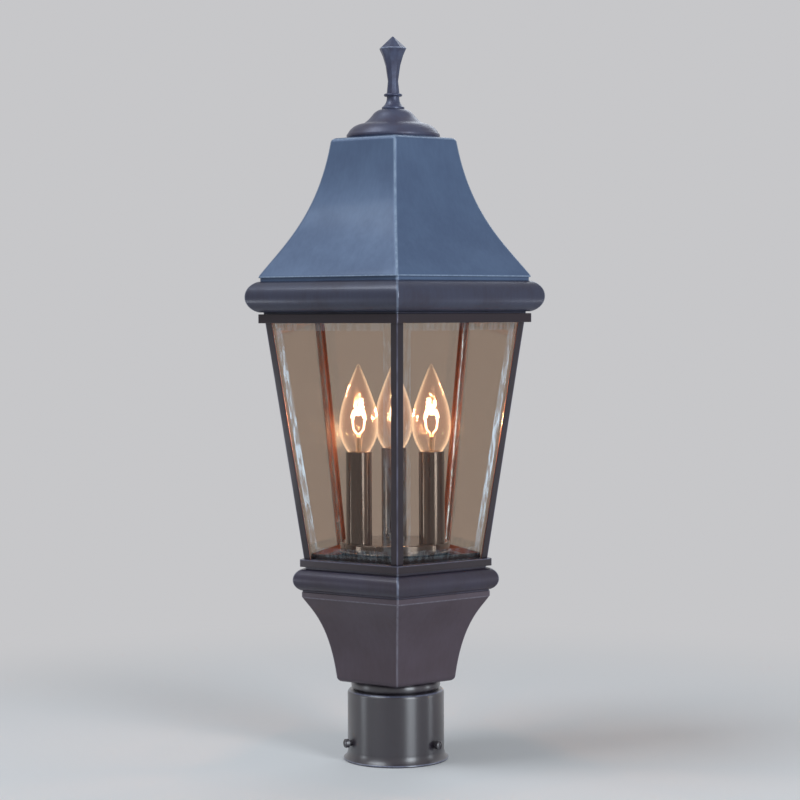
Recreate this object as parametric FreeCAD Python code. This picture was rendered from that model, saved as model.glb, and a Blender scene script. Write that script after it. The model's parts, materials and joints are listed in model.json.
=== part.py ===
# Post top lantern: a five-sided glazed cage with a bell roof, on a round collar that slips over a post.
# Millimetres, +Z up. The origin is the centre of the collar's open mouth, on the axis of the post.
# One corner of the lantern faces -Y. A "flat" size is the distance from the axis to one of the five sides.
import FreeCAD, Part

import math
import os

V = FreeCAD.Vector
ORIGIN = V(0, 0, 0)
UP = V(0, 0, 1)

# Five sides
SIDES = 5
STEP = 360.0 / SIDES
HALF_TAN = math.tan(math.radians(STEP / 2))
HALF_COS = math.cos(math.radians(STEP / 2))
FRONT = -90.0

# Fits and gaps
SEAT_GAP = 0.3
LOOSE_FIT = 0.2
TURN_FIT = 0.3
SHEET = 2.2
PAST = 1.0  # how far a cutter runs past the metal on each side

# Collar on the post
POST_D = 76.2
POST_CLEARANCE = 0.4
COLLAR_WALL = 2.6
COLLAR_H = 60.0
COLLAR_TOP = 3.0
COLLAR_SHOULDER = 3.0
LIP_OUT = 3.6
LIP_H = 10.0
LIP_NOSE = 1.1
LIP_TUCK = 0.7

# Set screws through the collar
SCREW_COUNT = 3
SCREW_FIRST = -159.0
SCREW_Z = 16.0
SCREW_R = 2.4
SCREW_NECK = 2.2
SCREW_HEAD_R = 3.7
SCREW_HEAD_H = 4.6
SCREW_CROWN = 1.4

# Round ring between collar and base
NECK_H = 8.5
NECK_R = 38.0
NECK_ROLL = 2.4

# Flared base
BASE_H = 77.5
BASE_BAND_FLAT = 67.5
BASE_BAND_H = 4.3
BASE_BAND_STEP = 0.4
BASE_FOOT_FLAT = 43.0
BASE_FOOT_ROUND = 4.5
BASE_FLOOR = 2.4
BASE_RIM_IN = 7.5
BASE_RIM_H = 2.2
BASE_FLARE_HIGH = (0.735, 0.16)  # upper pole of the flare: share of its reach left, share of its fall made
BASE_FLARE_LOW = (0.228, 0.33)  # lower pole of the flare

# Half-round moulding on the base
BASE_MOULD_STEP = 1.5
BASE_MOULD_H = 17.5
BASE_MOULD_OUT = 5.7
BASE_MOULD_ROOT = 0.4
BASE_MOULD_DEPTH = 6.0
BASE_SPIGOT_STEP = 1.32

# Glazed cage
CAGE_H = 203.0
CAGE_FOOT_FLAT = 65.5
CAGE_HEAD_FLAT = 92.3
POST_LEG = 6.4
POST_WALL = 1.4
GLASS_T = 3.0
GLASS_BEVEL = 11.0
GLASS_BEVEL_DEPTH = 0.9
GLASS_CORNER_GAP = 0.5
STOP_T = 1.2
STOP_H = 4.5

# Bottom and top frames of the cage
FRAME_PLATE = 2.4
BOTTOM_OVERHANG = 3.2
BOTTOM_SKIRT_H = 6.2
BOTTOM_SHADOW = 2.3
BOTTOM_RAIL = 14.5
TOP_OVERHANG = 4.4
TOP_SKIRT_H = 7.5
TOP_RAIL = 18.8

# Bell roof
ROOF_SHADOW = 1.2
ROOF_SHADOW_DEPTH = 3.6
ROOF_MOULD_H = 25.5
ROOF_MOULD_OUT = 9.7
ROOF_MOULD_ROOT = 1.76
ROOF_LEDGE = 2.2
ROOF_FLANGE_GAP = 1.7
ROOF_GROOVE_H = 3.0
ROOF_GROOVE_DEPTH = 1.2
ROOF_H = 117.0
ROOF_TOP_FLAT = 45.6
ROOF_TOP_ROUND = 4.5
ROOF_SKIRT_ROUND = 0.8
ROOF_SKIRT_H = 2.5
ROOF_BELL_LOW = (0.662, 0.227)  # lower pole of the bell: share of its reach left, share of its rise made
ROOF_BELL_HIGH = (0.19, 0.455)  # upper pole of the bell

# Round cap on the roof
CAP_H = 25.2
CAP_R = 38.4
CAP_BEAD = 0.9
CAP_BEAD_H = 5.0
CAP_STEP_R = 27.4
CAP_STEP_IN = 2.2
CAP_STEP_H = 12.8
CAP_RIM_R = 33.9
CAP_RIM_H = 10.1
CAP_SHOULDER_R = 17.4
CAP_SHOULDER_H = 20.6
CAP_CROWN_R = 11.8
CAP_SEAT_R = 8.2
CAP_CREASE = 0.4
CAP_CROWN_LEAN = (-1.0, 0.62)

# Finial
FINIAL_SIDES = 8
FINIAL_TURN = -14.5
FINIAL_H = 61.1
FINIAL_FOOT_R = 9.6
FINIAL_FOOT_EDGE = 1.4
FINIAL_NECK_R = 5.3
FINIAL_NECK_Z = 9.2
FINIAL_RING_R = 7.8
FINIAL_RING_Z = 11.7
FINIAL_RING_H = 2.4
FINIAL_WAIST_R = 4.5
FINIAL_WAIST_Z = 23.5
FINIAL_STEM_R = 5.625
FINIAL_STEM_IN_RING = 0.4
FINIAL_SWELL = ((0.26, 0.47), (0.60, 0.77))  # shares of the swell and of the climb from waist to head
FINIAL_HEAD_R = 11.8
FINIAL_HEAD_Z = 50.9
FINIAL_TIP_R = 0.7

# Threaded rod and crossbar that hold the roof
ROD_R = 3.0
ROD_IN_FINIAL = 13.5
CROSSBAR_W = 14.0
CROSSBAR_T = 2.5
CROSSBAR_LAP = 6.1
CROSSBAR_SCREW_IN = 3.0
SMALL_SCREW_R = 1.5
SMALL_HEAD_R = 2.8
SMALL_HEAD_H = 1.6
ROD_NUT_FLATS = 11.0
ROD_NUT_H = 4.5

# Candle cluster
PAN_ABOVE_FRAME = 10.9
PAN_SHEET = 1.6
PAN_MARGIN = 0.3
PAN_SKIRT = 7.4
PAN_ROUND = 1.5
PAN_BEAD = 1.0
STEM_R = 5.0
STEM_BORE_R = 3.5
STEM_END = 3.0
NUT_FLATS = 14.3
NUT_H = 3.2
CANDLE_COUNT = 3
CANDLE_FIRST = -150.0
CANDLE_CIRCLE_R = 35.4
SLEEVE_R = 10.9
SLEEVE_WALL = 0.9
SLEEVE_H = 77.3
SOCKET_R = 8.8
SOCKET_H = 39.5
SOCKET_BELOW_RIM = 7.8
SOCKET_FLOOR = 18.0
SOCKET_THREAD = 6.0
SOCKET_STEM_BELOW = 6.5

# Candle bulbs
BULB_R = 16.4
BULB_NECK_R = 6.0
BULB_MOUTH_R = 9.2
BULB_WIDEST = 20.8
BULB_SHOULDER = 45.3
BULB_SHOULDER_R = 12.0
BULB_TIP = 73.2
BULB_TIP_R = 1.2
BULB_TIP_H = 1.0
BULB_GLASS_T = 0.9
BULB_TIP_T = 3.0
CAP_CONTACT_R = 2.2
CAP_CONTACT_H = 1.8
CAP_TAPER_H = 2.4
GLASS_STEM_R = 2.4
GLASS_STEM_TOP = 9.0
LEAD_ROOT_DEPTH = 2.88
LEAD_ROOT_X = 1.2
WIRE_R = 0.45
FILAMENT_R = 0.6
FILAMENT_SPREAD = 5.0
FILAMENT_Z = 36.0

# Heights, stacked from the collar up
z_neck = COLLAR_H
z_base = z_neck + NECK_H
z_base_top = z_base + BASE_H
z_mould = z_base_top + BASE_MOULD_STEP
z_mould_top = z_mould + BASE_MOULD_H
z_skirt = z_mould_top + BOTTOM_SHADOW
z_cage = z_skirt + BOTTOM_SKIRT_H
z_cage_top = z_cage + CAGE_H
z_frame_top = z_cage_top + FRAME_PLATE
z_roof = z_frame_top + SEAT_GAP
z_roof_mould = z_roof + ROOF_SHADOW
z_groove = z_roof_mould + ROOF_MOULD_H
z_bell = z_groove + ROOF_GROOVE_H
z_roof_top = z_bell + ROOF_H
z_cap_top = z_roof_top + CAP_H
z_finial = z_cap_top + SEAT_GAP
z_pan = z_cage + PAN_ABOVE_FRAME
z_pan_top = z_pan + PAN_SHEET
z_sleeve_top = z_pan_top + SLEEVE_H
z_socket_top = z_sleeve_top - SOCKET_BELOW_RIM
z_socket = z_socket_top - SOCKET_H
z_bulb_cap = z_socket + SOCKET_FLOOR + TURN_FIT
z_bulb_glass = z_socket_top - LOOSE_FIT

# Sizes that follow from those above
bore_r = POST_D / 2 + POST_CLEARANCE
collar_r = bore_r + COLLAR_WALL
roof_bell_z = z_bell + ROOF_SKIRT_H
cage_slope = (CAGE_HEAD_FLAT - CAGE_FOOT_FLAT) / CAGE_H
bottom_flat = CAGE_FOOT_FLAT + BOTTOM_OVERHANG
top_flat = CAGE_HEAD_FLAT + TOP_OVERHANG
roof_flat = top_flat
stem_hole_r = STEM_R + LOOSE_FIT
rod_hole_r = ROD_R + TURN_FIT
bar_side_lean = math.radians(STEP / 4)
crossbar_half = (top_flat - TOP_RAIL) / math.cos(bar_side_lean) + CROSSBAR_LAP
crossbar_reach = crossbar_half * math.cos(bar_side_lean) + CROSSBAR_W / 2 * math.sin(bar_side_lean)
crossbar_screw_x = crossbar_half - CROSSBAR_SCREW_IN
bulb_cap_r = BULB_NECK_R
sleeve_bore_r = SLEEVE_R - SLEEVE_WALL
pan_r = CANDLE_CIRCLE_R + SLEEVE_R + PAN_MARGIN


def arc_middle(touch, heading, far):
    """The middle point of the arc through two points that runs along the heading at the first one."""
    normal = V(-heading[1], 0, heading[0])
    normal.normalize()
    chord = far - touch
    radius = chord.dot(chord) / (2 * chord.dot(normal))
    centre = touch + normal * radius
    spoke = (touch - centre) + (far - centre)
    spoke.normalize()
    return centre + spoke * abs(radius)


class Profile:
    """A closed outline in the plane of distance out (X) and height (Z)."""

    def __init__(self, out, height):
        self.first = V(out, 0, height)
        self.here = self.first
        self.edges = []

    def line(self, out, height):
        end = V(out, 0, height)
        self.edges.append(Part.LineSegment(self.here, end).toShape())
        self.here = end
        return self

    def arc(self, middle, end):
        through = V(middle[0], 0, middle[1])
        stop = V(end[0], 0, end[1])
        self.edges.append(Part.Arc(self.here, through, stop).toShape())
        self.here = stop
        return self

    def curve(self, *poles):
        points = [self.here] + [V(out, 0, height) for out, height in poles]
        bezier = Part.BezierCurve()
        bezier.setPoles(points)
        self.edges.append(bezier.toShape())
        self.here = points[-1]
        return self

    def leaving(self, heading, out, height):
        """An arc that leaves along a heading."""
        middle = arc_middle(self.here, heading, V(out, 0, height))
        return self.arc((middle.x, middle.z), (out, height))

    def arriving(self, heading, out, height):
        """An arc that arrives along a heading."""
        middle = arc_middle(V(out, 0, height), heading, self.here)
        return self.arc((middle.x, middle.z), (out, height))

    def smooth(self, out, height):
        """An arc that carries on from the last edge without a kink."""
        last = self.edges[-1]
        heading = last.tangentAt(last.LastParameter)
        return self.leaving((heading.x, heading.z), out, height)

    def dome(self, height):
        """An arc up to the axis, level at its top."""
        return self.arriving((1, 0), 0, height)

    def face(self):
        self.line(self.first.x, self.first.z)
        return Part.Face(Part.Wire(self.edges))


def turned(face):
    solid = face.revolve(ORIGIN, UP, 360)
    if solid.Volume < 0:
        solid.reverse()
    return solid


def polar(radius, degrees, height=0.0):
    angle = math.radians(degrees)
    return V(radius * math.cos(angle), radius * math.sin(angle), height)


def rotated(shape, degrees):
    return shape.rotated(ORIGIN, UP, degrees)


def moved(shape, offset):
    return shape.translated(offset)


def joined(shapes):
    whole = shapes[0]
    if len(shapes) > 1:
        whole = whole.multiFuse(shapes[1:]).removeSplitter()
    return whole.Solids[0] if len(whole.Solids) == 1 else whole


def cylinder(radius, low, high, x=0.0, y=0.0):
    return Part.makeCylinder(radius, high - low, V(x, y, low), UP)


def tube(outer, bore, low, high, x=0.0, y=0.0):
    return cylinder(outer, low, high, x, y).cut(cylinder(bore, low - PAST, high + PAST, x, y))


def hex_nut(flats, bore, low, high, x=0.0, y=0.0):
    corner = flats / 2 / math.cos(math.radians(30))
    points = [polar(corner, 60 * k, low) + V(x, y, 0) for k in range(7)]
    blank = Part.Face(Part.makePolygon(points)).extrude(V(0, 0, high - low))
    return blank.cut(cylinder(bore, low - PAST, high + PAST, x, y))


def corner_angle(index):
    return FRONT + STEP * index


def side_angle(index):
    return FRONT + STEP * (index + 0.5)


def mitred(face):
    """Runs a section along each of the five sides and mitres it at the corners."""
    box = face.BoundBox
    reach = box.XMax + PAST
    wide = reach * HALF_TAN
    low = box.ZMin - PAST
    wedge_line = [V(0, 0, low), V(reach, -wide, low), V(reach, wide, low)]
    wedge_face = Part.Face(Part.makePolygon(wedge_line + wedge_line[:1]))
    wedge = wedge_face.extrude(V(0, 0, box.ZLength + 2 * PAST))
    bar = moved(face, V(0, -wide, 0)).extrude(V(0, 2 * wide, 0))
    sector = bar.common(wedge)
    return joined([rotated(sector, side_angle(k)) for k in range(SIDES)])


def candle_places():
    spacing = 360.0 / CANDLE_COUNT
    return [polar(CANDLE_CIRCLE_R, CANDLE_FIRST + spacing * k) for k in range(CANDLE_COUNT)]


def screw_angles():
    return [SCREW_FIRST + 360.0 / SCREW_COUNT * k for k in range(SCREW_COUNT)]


def radial_cylinder(radius, inner, outer, degrees):
    return Part.makeCylinder(radius, outer - inner, polar(inner, degrees, SCREW_Z), polar(1, degrees))


def post_collar():
    inside_top = COLLAR_H - COLLAR_TOP
    lip_r = collar_r + LIP_OUT
    outline = Profile(bore_r, 0)
    outline.line(lip_r - LIP_NOSE, 0)
    outline.arc((lip_r, LIP_NOSE), (lip_r - LIP_TUCK, 2 * LIP_NOSE))
    outline.arriving((0, 1), collar_r, LIP_H)
    outline.line(collar_r, COLLAR_H - COLLAR_SHOULDER)
    bend = COLLAR_SHOULDER * (1 - math.sqrt(0.5))
    outline.arc((collar_r - bend, COLLAR_H - bend), (collar_r - COLLAR_SHOULDER, COLLAR_H))
    outline.line(STEM_R, COLLAR_H).line(STEM_R, inside_top).line(bore_r, inside_top)
    collar = turned(outline.face())
    for angle in screw_angles():
        collar = collar.cut(radial_cylinder(SCREW_R + TURN_FIT, bore_r - PAST, collar_r + PAST, angle))
    return collar


def set_screw(angle):
    tip = bore_r + LOOSE_FIT / 2
    head = collar_r + SCREW_NECK
    end = head + SCREW_HEAD_H
    outline = Profile(0, tip).line(SCREW_R, tip).line(SCREW_R, head).line(SCREW_HEAD_R, head)
    outline.line(SCREW_HEAD_R, end - SCREW_CROWN).dome(end)
    screw = turned(outline.face())
    screw = screw.rotated(ORIGIN, V(0, 1, 0), 90)
    return moved(rotated(screw, angle), V(0, 0, SCREW_Z))


def neck_ring():
    root = NECK_R - NECK_ROLL
    outline = Profile(stem_hole_r, z_neck).line(root, z_neck)
    outline.arc((NECK_R, (z_neck + z_base) / 2), (root, z_base)).line(stem_hole_r, z_base)
    return turned(outline.face())


def flare(outline, out_shift, going_down):
    """The hollow curve of the base, from its band to its foot or back up again."""
    fall = z_base_top - BASE_BAND_H - BASE_BAND_STEP - z_base - BASE_FOOT_ROUND
    high = z_base + BASE_FOOT_ROUND + fall
    reach = BASE_BAND_FLAT - BASE_BAND_STEP - BASE_FOOT_FLAT
    foot = BASE_FOOT_FLAT + out_shift
    poles = [
        (foot + reach, high),
        (foot + reach * BASE_FLARE_HIGH[0], high - fall * BASE_FLARE_HIGH[1]),
        (foot + reach * BASE_FLARE_LOW[0], high - fall * BASE_FLARE_LOW[1]),
        (foot, high - fall),
    ]
    if not going_down:
        poles.reverse()
    outline.curve(*poles[1:])


def base_body():
    band_low = z_base_top - BASE_BAND_H
    bend = BASE_FOOT_ROUND * (1 - math.sqrt(0.5))
    inner_band = BASE_BAND_FLAT - BASE_BAND_STEP - SHEET
    inner_foot = BASE_FOOT_FLAT - SHEET
    floor_top = z_base + BASE_FLOOR
    outline = Profile(BASE_BAND_FLAT, z_base_top)
    outline.line(BASE_BAND_FLAT, band_low)
    outline.line(BASE_BAND_FLAT - BASE_BAND_STEP, band_low - BASE_BAND_STEP)
    flare(outline, 0, True)
    outline.arc((BASE_FOOT_FLAT - bend, z_base + bend), (BASE_FOOT_FLAT - BASE_FOOT_ROUND, z_base))
    outline.line(0, z_base).line(0, floor_top).line(BASE_FOOT_FLAT - BASE_FOOT_ROUND, floor_top)
    outline.line(inner_foot, z_base + BASE_FOOT_ROUND)
    flare(outline, -SHEET, False)
    outline.line(inner_band, z_base_top - BASE_RIM_H)
    outline.line(BASE_BAND_FLAT - BASE_RIM_IN, z_base_top - BASE_RIM_H)
    outline.line(BASE_BAND_FLAT - BASE_RIM_IN, z_base_top)
    body = mitred(outline.face())
    return body.cut(cylinder(stem_hole_r, z_base - PAST, floor_top + PAST))


def base_moulding():
    """Seats on the base's rim below and inside the bottom frame's skirt above, with its wall inside both."""
    root = bottom_flat - BASE_MOULD_ROOT
    middle = (z_mould + z_mould_top) / 2
    spigot = bottom_flat - SHEET - SEAT_GAP
    spigot_wall = spigot - BASE_SPIGOT_STEP
    inner = min(spigot, BASE_BAND_FLAT) - BASE_MOULD_DEPTH + SHEET
    outline = Profile(inner, z_base_top)
    outline.line(BASE_BAND_FLAT - BASE_BAND_STEP, z_base_top)
    outline.line(BASE_BAND_FLAT - BASE_BAND_STEP, z_mould)
    outline.line(root, z_mould)
    outline.arc((root + BASE_MOULD_OUT, middle), (root, z_mould_top))
    outline.line(spigot_wall, z_mould_top)
    outline.line(spigot_wall, z_cage - FRAME_PLATE)
    outline.line(inner, z_cage - FRAME_PLATE)
    return mitred(outline.face())


def cage_flat(height):
    return CAGE_FOOT_FLAT + cage_slope * (height - z_cage)


def glass_face(height):
    return cage_flat(height) - POST_WALL - LOOSE_FIT


def glass_back(height):
    return glass_face(height) - GLASS_T


def cage_bottom_frame():
    stop = glass_back(z_cage) - LOOSE_FIT
    skirt = bottom_flat - SHEET
    opening = bottom_flat - BOTTOM_RAIL
    outline = Profile(bottom_flat, z_skirt).line(bottom_flat, z_cage)
    outline.line(stop, z_cage).line(stop, z_cage + STOP_H)
    outline.line(stop - STOP_T, z_cage + STOP_H).line(stop - STOP_T, z_cage)
    outline.line(opening, z_cage).line(opening, z_cage - FRAME_PLATE)
    outline.line(skirt, z_cage - FRAME_PLATE).line(skirt, z_skirt)
    return mitred(outline.face())


def cage_top_frame():
    low = z_frame_top - TOP_SKIRT_H
    stop_low = z_cage_top - STOP_H
    stop = glass_back(stop_low) - LOOSE_FIT
    skirt = top_flat - SHEET
    opening = top_flat - TOP_RAIL
    outline = Profile(top_flat, low).line(top_flat, z_frame_top)
    outline.line(opening, z_frame_top).line(opening, z_cage_top)
    outline.line(stop - STOP_T, z_cage_top).line(stop - STOP_T, stop_low)
    outline.line(stop, stop_low).line(stop, z_cage_top)
    outline.line(skirt, z_cage_top).line(skirt, low)
    frame = mitred(outline.face())
    for x in (-crossbar_screw_x, crossbar_screw_x):
        frame = frame.cut(cylinder(SMALL_SCREW_R, z_cage_top - PAST, z_frame_top + PAST, x))
    return frame


def corner_post(index):
    """An angle bar whose two legs lie in the two sides that meet at a corner."""
    angle = corner_angle(index)
    foot_r = CAGE_FOOT_FLAT / HALF_COS
    head_r = CAGE_HEAD_FLAT / HALF_COS
    edge = polar(foot_r, angle, z_cage)
    along = [polar(1, angle + turn * (90 + STEP / 2)) for turn in (1, -1)]
    normal = [polar(1, angle + turn * STEP / 2) for turn in (1, -1)]
    inner = polar(foot_r - POST_WALL / HALF_COS, angle, z_cage)
    points = [
        edge,
        edge + along[0] * POST_LEG,
        edge + along[0] * POST_LEG - normal[0] * POST_WALL,
        inner,
        edge + along[1] * POST_LEG - normal[1] * POST_WALL,
        edge + along[1] * POST_LEG,
        edge,
    ]
    return Part.Face(Part.makePolygon(points)).extrude(polar(head_r - foot_r, angle, CAGE_H))


def glass_outline(inset, depth):
    """The pane's outline at a depth behind its face, drawn in by the inset on all four sides."""
    low = z_cage + inset
    high = z_cage_top - SEAT_GAP - inset
    points = []
    for height, turns in ((low, (-1, 1)), (high, (1, -1))):
        half = glass_back(height) * HALF_TAN - GLASS_CORNER_GAP - inset
        points += [V(glass_face(height) - depth, turn * half, height) for turn in turns]
    return Part.makePolygon(points + points[:1])


def glass_pane(index):
    back = Part.Face(glass_outline(0, GLASS_T))
    slab = back.extrude(V(GLASS_T - GLASS_BEVEL_DEPTH, 0, 0))
    bevel = Part.makeLoft([glass_outline(0, GLASS_BEVEL_DEPTH), glass_outline(GLASS_BEVEL, 0)], True, True)
    return rotated(joined([slab, bevel]), side_angle(index))


def top_crossbar():
    size = (2 * crossbar_half, CROSSBAR_W, CROSSBAR_T)
    bar = Part.makeBox(*size, V(-crossbar_half, -CROSSBAR_W / 2, z_frame_top))
    low = z_frame_top - PAST
    high = z_frame_top + CROSSBAR_T + PAST
    bar = bar.cut(cylinder(ROD_R, low, high))
    for x in (-crossbar_screw_x, crossbar_screw_x):
        bar = bar.cut(cylinder(SMALL_SCREW_R, low, high, x))
    return bar


def crossbar_screws():
    seat = z_frame_top + CROSSBAR_T
    outline = Profile(0, z_cage_top).line(SMALL_SCREW_R, z_cage_top).line(SMALL_SCREW_R, seat)
    outline.line(SMALL_HEAD_R, seat).dome(seat + SMALL_HEAD_H)
    screw = turned(outline.face())
    return Part.makeCompound([moved(screw, V(x, 0, 0)) for x in (-crossbar_screw_x, crossbar_screw_x)])


def finial_rod():
    return cylinder(ROD_R, z_frame_top - ROD_NUT_H - STEM_END, z_finial + ROD_IN_FINIAL)


def rod_nuts():
    above = z_frame_top + CROSSBAR_T
    upper = hex_nut(ROD_NUT_FLATS, ROD_R, above, above + ROD_NUT_H)
    lower = hex_nut(ROD_NUT_FLATS, ROD_R, z_frame_top - ROD_NUT_H, z_frame_top)
    return Part.makeCompound([lower, upper])


def roof_moulding():
    middle = z_roof_mould + ROOF_MOULD_H / 2
    flange = crossbar_reach + ROOF_FLANGE_GAP
    recess = roof_flat - ROOF_SHADOW_DEPTH
    seat = roof_flat - ROOF_GROOVE_DEPTH - SHEET - ROOF_LEDGE
    inner_low = z_roof_mould + SHEET
    inner_high = z_groove - SHEET
    inner_root = roof_flat - ROOF_MOULD_ROOT
    outline = Profile(flange, z_roof).line(recess, z_roof).line(recess, z_roof_mould)
    outline.line(roof_flat, z_roof_mould)
    outline.arc((roof_flat + ROOF_MOULD_OUT, middle), (roof_flat, z_groove))
    outline.line(seat, z_groove).line(seat, inner_high).line(inner_root, inner_high)
    outline.arc((roof_flat + ROOF_MOULD_OUT - SHEET, middle), (inner_root, inner_low))
    outline.line(flange, inner_low)
    return mitred(outline.face())


def bell(outline, out_shift, going_up):
    """The bell curve of the roof, between its skirt and its rounded top edge."""
    low = roof_bell_z
    rise = z_roof_top - ROOF_TOP_ROUND - low
    top = ROOF_TOP_FLAT + out_shift
    reach = roof_flat - ROOF_SKIRT_ROUND - ROOF_TOP_FLAT
    poles = [
        (top + reach, low),
        (top + reach * ROOF_BELL_LOW[0], low + rise * ROOF_BELL_LOW[1]),
        (top + reach * ROOF_BELL_HIGH[0], low + rise * ROOF_BELL_HIGH[1]),
        (top, low + rise),
    ]
    if not going_up:
        poles.reverse()
    outline.curve(*poles[1:])


def roof_shell():
    groove = roof_flat - ROOF_GROOVE_DEPTH
    skirt_top = z_bell + ROOF_SKIRT_ROUND
    shoulder = z_roof_top - ROOF_TOP_ROUND
    bend = ROOF_TOP_ROUND * (1 - math.sqrt(0.5))
    outline = Profile(groove, z_groove).line(groove, z_bell).line(roof_flat, z_bell)
    outline.line(roof_flat, skirt_top).line(roof_flat - ROOF_SKIRT_ROUND, roof_bell_z)
    bell(outline, 0, True)
    outline.arc((ROOF_TOP_FLAT - bend, z_roof_top - bend), (ROOF_TOP_FLAT - ROOF_TOP_ROUND, z_roof_top))
    outline.line(0, z_roof_top).line(0, z_roof_top - SHEET)
    outline.line(ROOF_TOP_FLAT - ROOF_TOP_ROUND, z_roof_top - SHEET)
    outline.line(ROOF_TOP_FLAT - SHEET, shoulder)
    bell(outline, -SHEET, False)
    outline.line(groove - SHEET, z_groove)
    shell = mitred(outline.face())
    return shell.cut(cylinder(rod_hole_r, z_roof_top - SHEET - PAST, z_roof_top + PAST))


def cap_dome():
    step_z = z_roof_top + CAP_STEP_H
    outline = Profile(rod_hole_r, z_roof_top).line(CAP_R - CAP_BEAD, z_roof_top)
    outline.arc((CAP_R + CAP_BEAD, z_roof_top + CAP_BEAD_H / 2), (CAP_R, z_roof_top + CAP_BEAD_H))
    outline.arc((CAP_RIM_R, z_roof_top + CAP_RIM_H), (CAP_STEP_R, step_z))
    outline.line(CAP_STEP_R - CAP_STEP_IN, step_z + CAP_CREASE)
    outline.leaving(CAP_CROWN_LEAN, CAP_SHOULDER_R, z_roof_top + CAP_SHOULDER_H)
    outline.smooth(CAP_CROWN_R, z_cap_top - CAP_CREASE)
    outline.line(CAP_SEAT_R, z_cap_top).line(rod_hole_r, z_cap_top)
    return turned(outline.face())


def finial_section(radius, height):
    corners = [FRONT + FINIAL_TURN + 360.0 / FINIAL_SIDES * k for k in range(FINIAL_SIDES + 1)]
    return Part.makePolygon([polar(radius, corner, z_finial + height) for corner in corners])


def finial():
    ring_low = FINIAL_RING_Z - FINIAL_RING_H / 2
    ring_high = FINIAL_RING_Z + FINIAL_RING_H / 2
    ring_root = FINIAL_RING_R - FINIAL_RING_H / 2
    foot = Profile(0, z_finial).line(FINIAL_FOOT_R, z_finial)
    foot.line(FINIAL_FOOT_R, z_finial + FINIAL_FOOT_EDGE)
    foot.arriving((0, 1), FINIAL_NECK_R, z_finial + FINIAL_NECK_Z)
    foot.line(FINIAL_NECK_R, z_finial + ring_low).line(ring_root, z_finial + ring_low)
    foot.arc((FINIAL_RING_R, z_finial + FINIAL_RING_Z), (ring_root, z_finial + ring_high))
    foot.line(0, z_finial + ring_high)
    swell = FINIAL_HEAD_R - FINIAL_WAIST_R
    climb = FINIAL_HEAD_Z - FINIAL_WAIST_Z
    sections = [
        finial_section(FINIAL_STEM_R, ring_high - FINIAL_STEM_IN_RING),
        finial_section(FINIAL_WAIST_R, FINIAL_WAIST_Z),
    ]
    for out, up in FINIAL_SWELL:
        sections.append(finial_section(FINIAL_WAIST_R + swell * out, FINIAL_WAIST_Z + climb * up))
    sections.append(finial_section(FINIAL_HEAD_R, FINIAL_HEAD_Z))
    spindle = Part.makeLoft(sections, True, True)
    point = Part.makeLoft([sections[-1], finial_section(FINIAL_TIP_R, FINIAL_H)], True, True)
    body = joined([turned(foot.face()), spindle, point])
    return body.cut(cylinder(rod_hole_r, z_finial - PAST, z_finial + ROD_IN_FINIAL + SEAT_GAP))


def candle_pan():
    low = z_pan - PAN_SKIRT
    inner = pan_r - PAN_SHEET
    bend = PAN_ROUND * (1 - math.sqrt(0.5))
    outline = Profile(stem_hole_r, z_pan).line(inner, z_pan).line(inner, low).line(pan_r, low)
    outline.arc((pan_r + PAN_BEAD, low + PAN_BEAD), (pan_r, low + 2 * PAN_BEAD))
    outline.line(pan_r, z_pan_top - PAN_ROUND)
    outline.arc((pan_r - bend, z_pan_top - bend), (pan_r - PAN_ROUND, z_pan_top))
    outline.line(stem_hole_r, z_pan_top)
    pan = turned(outline.face())
    for place in candle_places():
        pan = pan.cut(cylinder(stem_hole_r, z_pan - PAST, z_pan_top + PAST, place.x, place.y))
    return pan


def centre_stem():
    return tube(STEM_R, STEM_BORE_R, COLLAR_H - COLLAR_TOP, z_pan_top + NUT_H + STEM_END)


def stem_nuts():
    floor_top = z_base + BASE_FLOOR
    seats = (floor_top, z_pan - NUT_H, z_pan_top)
    return Part.makeCompound([hex_nut(NUT_FLATS, STEM_R, low, low + NUT_H) for low in seats])


def socket_nuts():
    seats = (z_pan - NUT_H, z_pan_top)
    nuts = [hex_nut(NUT_FLATS, STEM_R, low, low + NUT_H, p.x, p.y) for p in candle_places() for low in seats]
    return Part.makeCompound(nuts)


def socket_stem(place):
    return tube(STEM_R, STEM_BORE_R, z_pan - SOCKET_STEM_BELOW, z_socket + SOCKET_THREAD, place.x, place.y)


def candle_sleeve(place):
    return tube(SLEEVE_R, sleeve_bore_r, z_pan_top, z_sleeve_top, place.x, place.y)


def lamp_socket(place):
    floor = z_socket + SOCKET_FLOOR
    mouth = bulb_cap_r + TURN_FIT
    outline = Profile(STEM_R, z_socket).line(SOCKET_R, z_socket).line(SOCKET_R, z_socket_top)
    outline.line(mouth, z_socket_top).line(mouth, floor).line(0, floor)
    outline.line(0, z_socket + SOCKET_THREAD).line(STEM_R, z_socket + SOCKET_THREAD)
    return moved(turned(outline.face()), place)


def bulb_cap(place):
    outline = Profile(0, z_bulb_cap).line(CAP_CONTACT_R, z_bulb_cap)
    outline.line(CAP_CONTACT_R, z_bulb_cap + CAP_CONTACT_H)
    outline.line(bulb_cap_r, z_bulb_cap + CAP_CONTACT_H + CAP_TAPER_H)
    outline.line(bulb_cap_r, z_bulb_glass).line(0, z_bulb_glass)
    return moved(turned(outline.face()), place)


def bulb_outline(start, mouth, inset, tip):
    """The lamp's pear from its foot to the height of its tip, drawn in by the inset."""
    outline = Profile(0, start).line(BULB_NECK_R - inset, start).line(BULB_MOUTH_R - inset, mouth)
    outline.arriving((0, 1), BULB_R - inset, z_sleeve_top + BULB_WIDEST)
    outline.smooth(BULB_SHOULDER_R - inset, z_sleeve_top + BULB_SHOULDER)
    outline.smooth(BULB_TIP_R, tip)
    return outline


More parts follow.
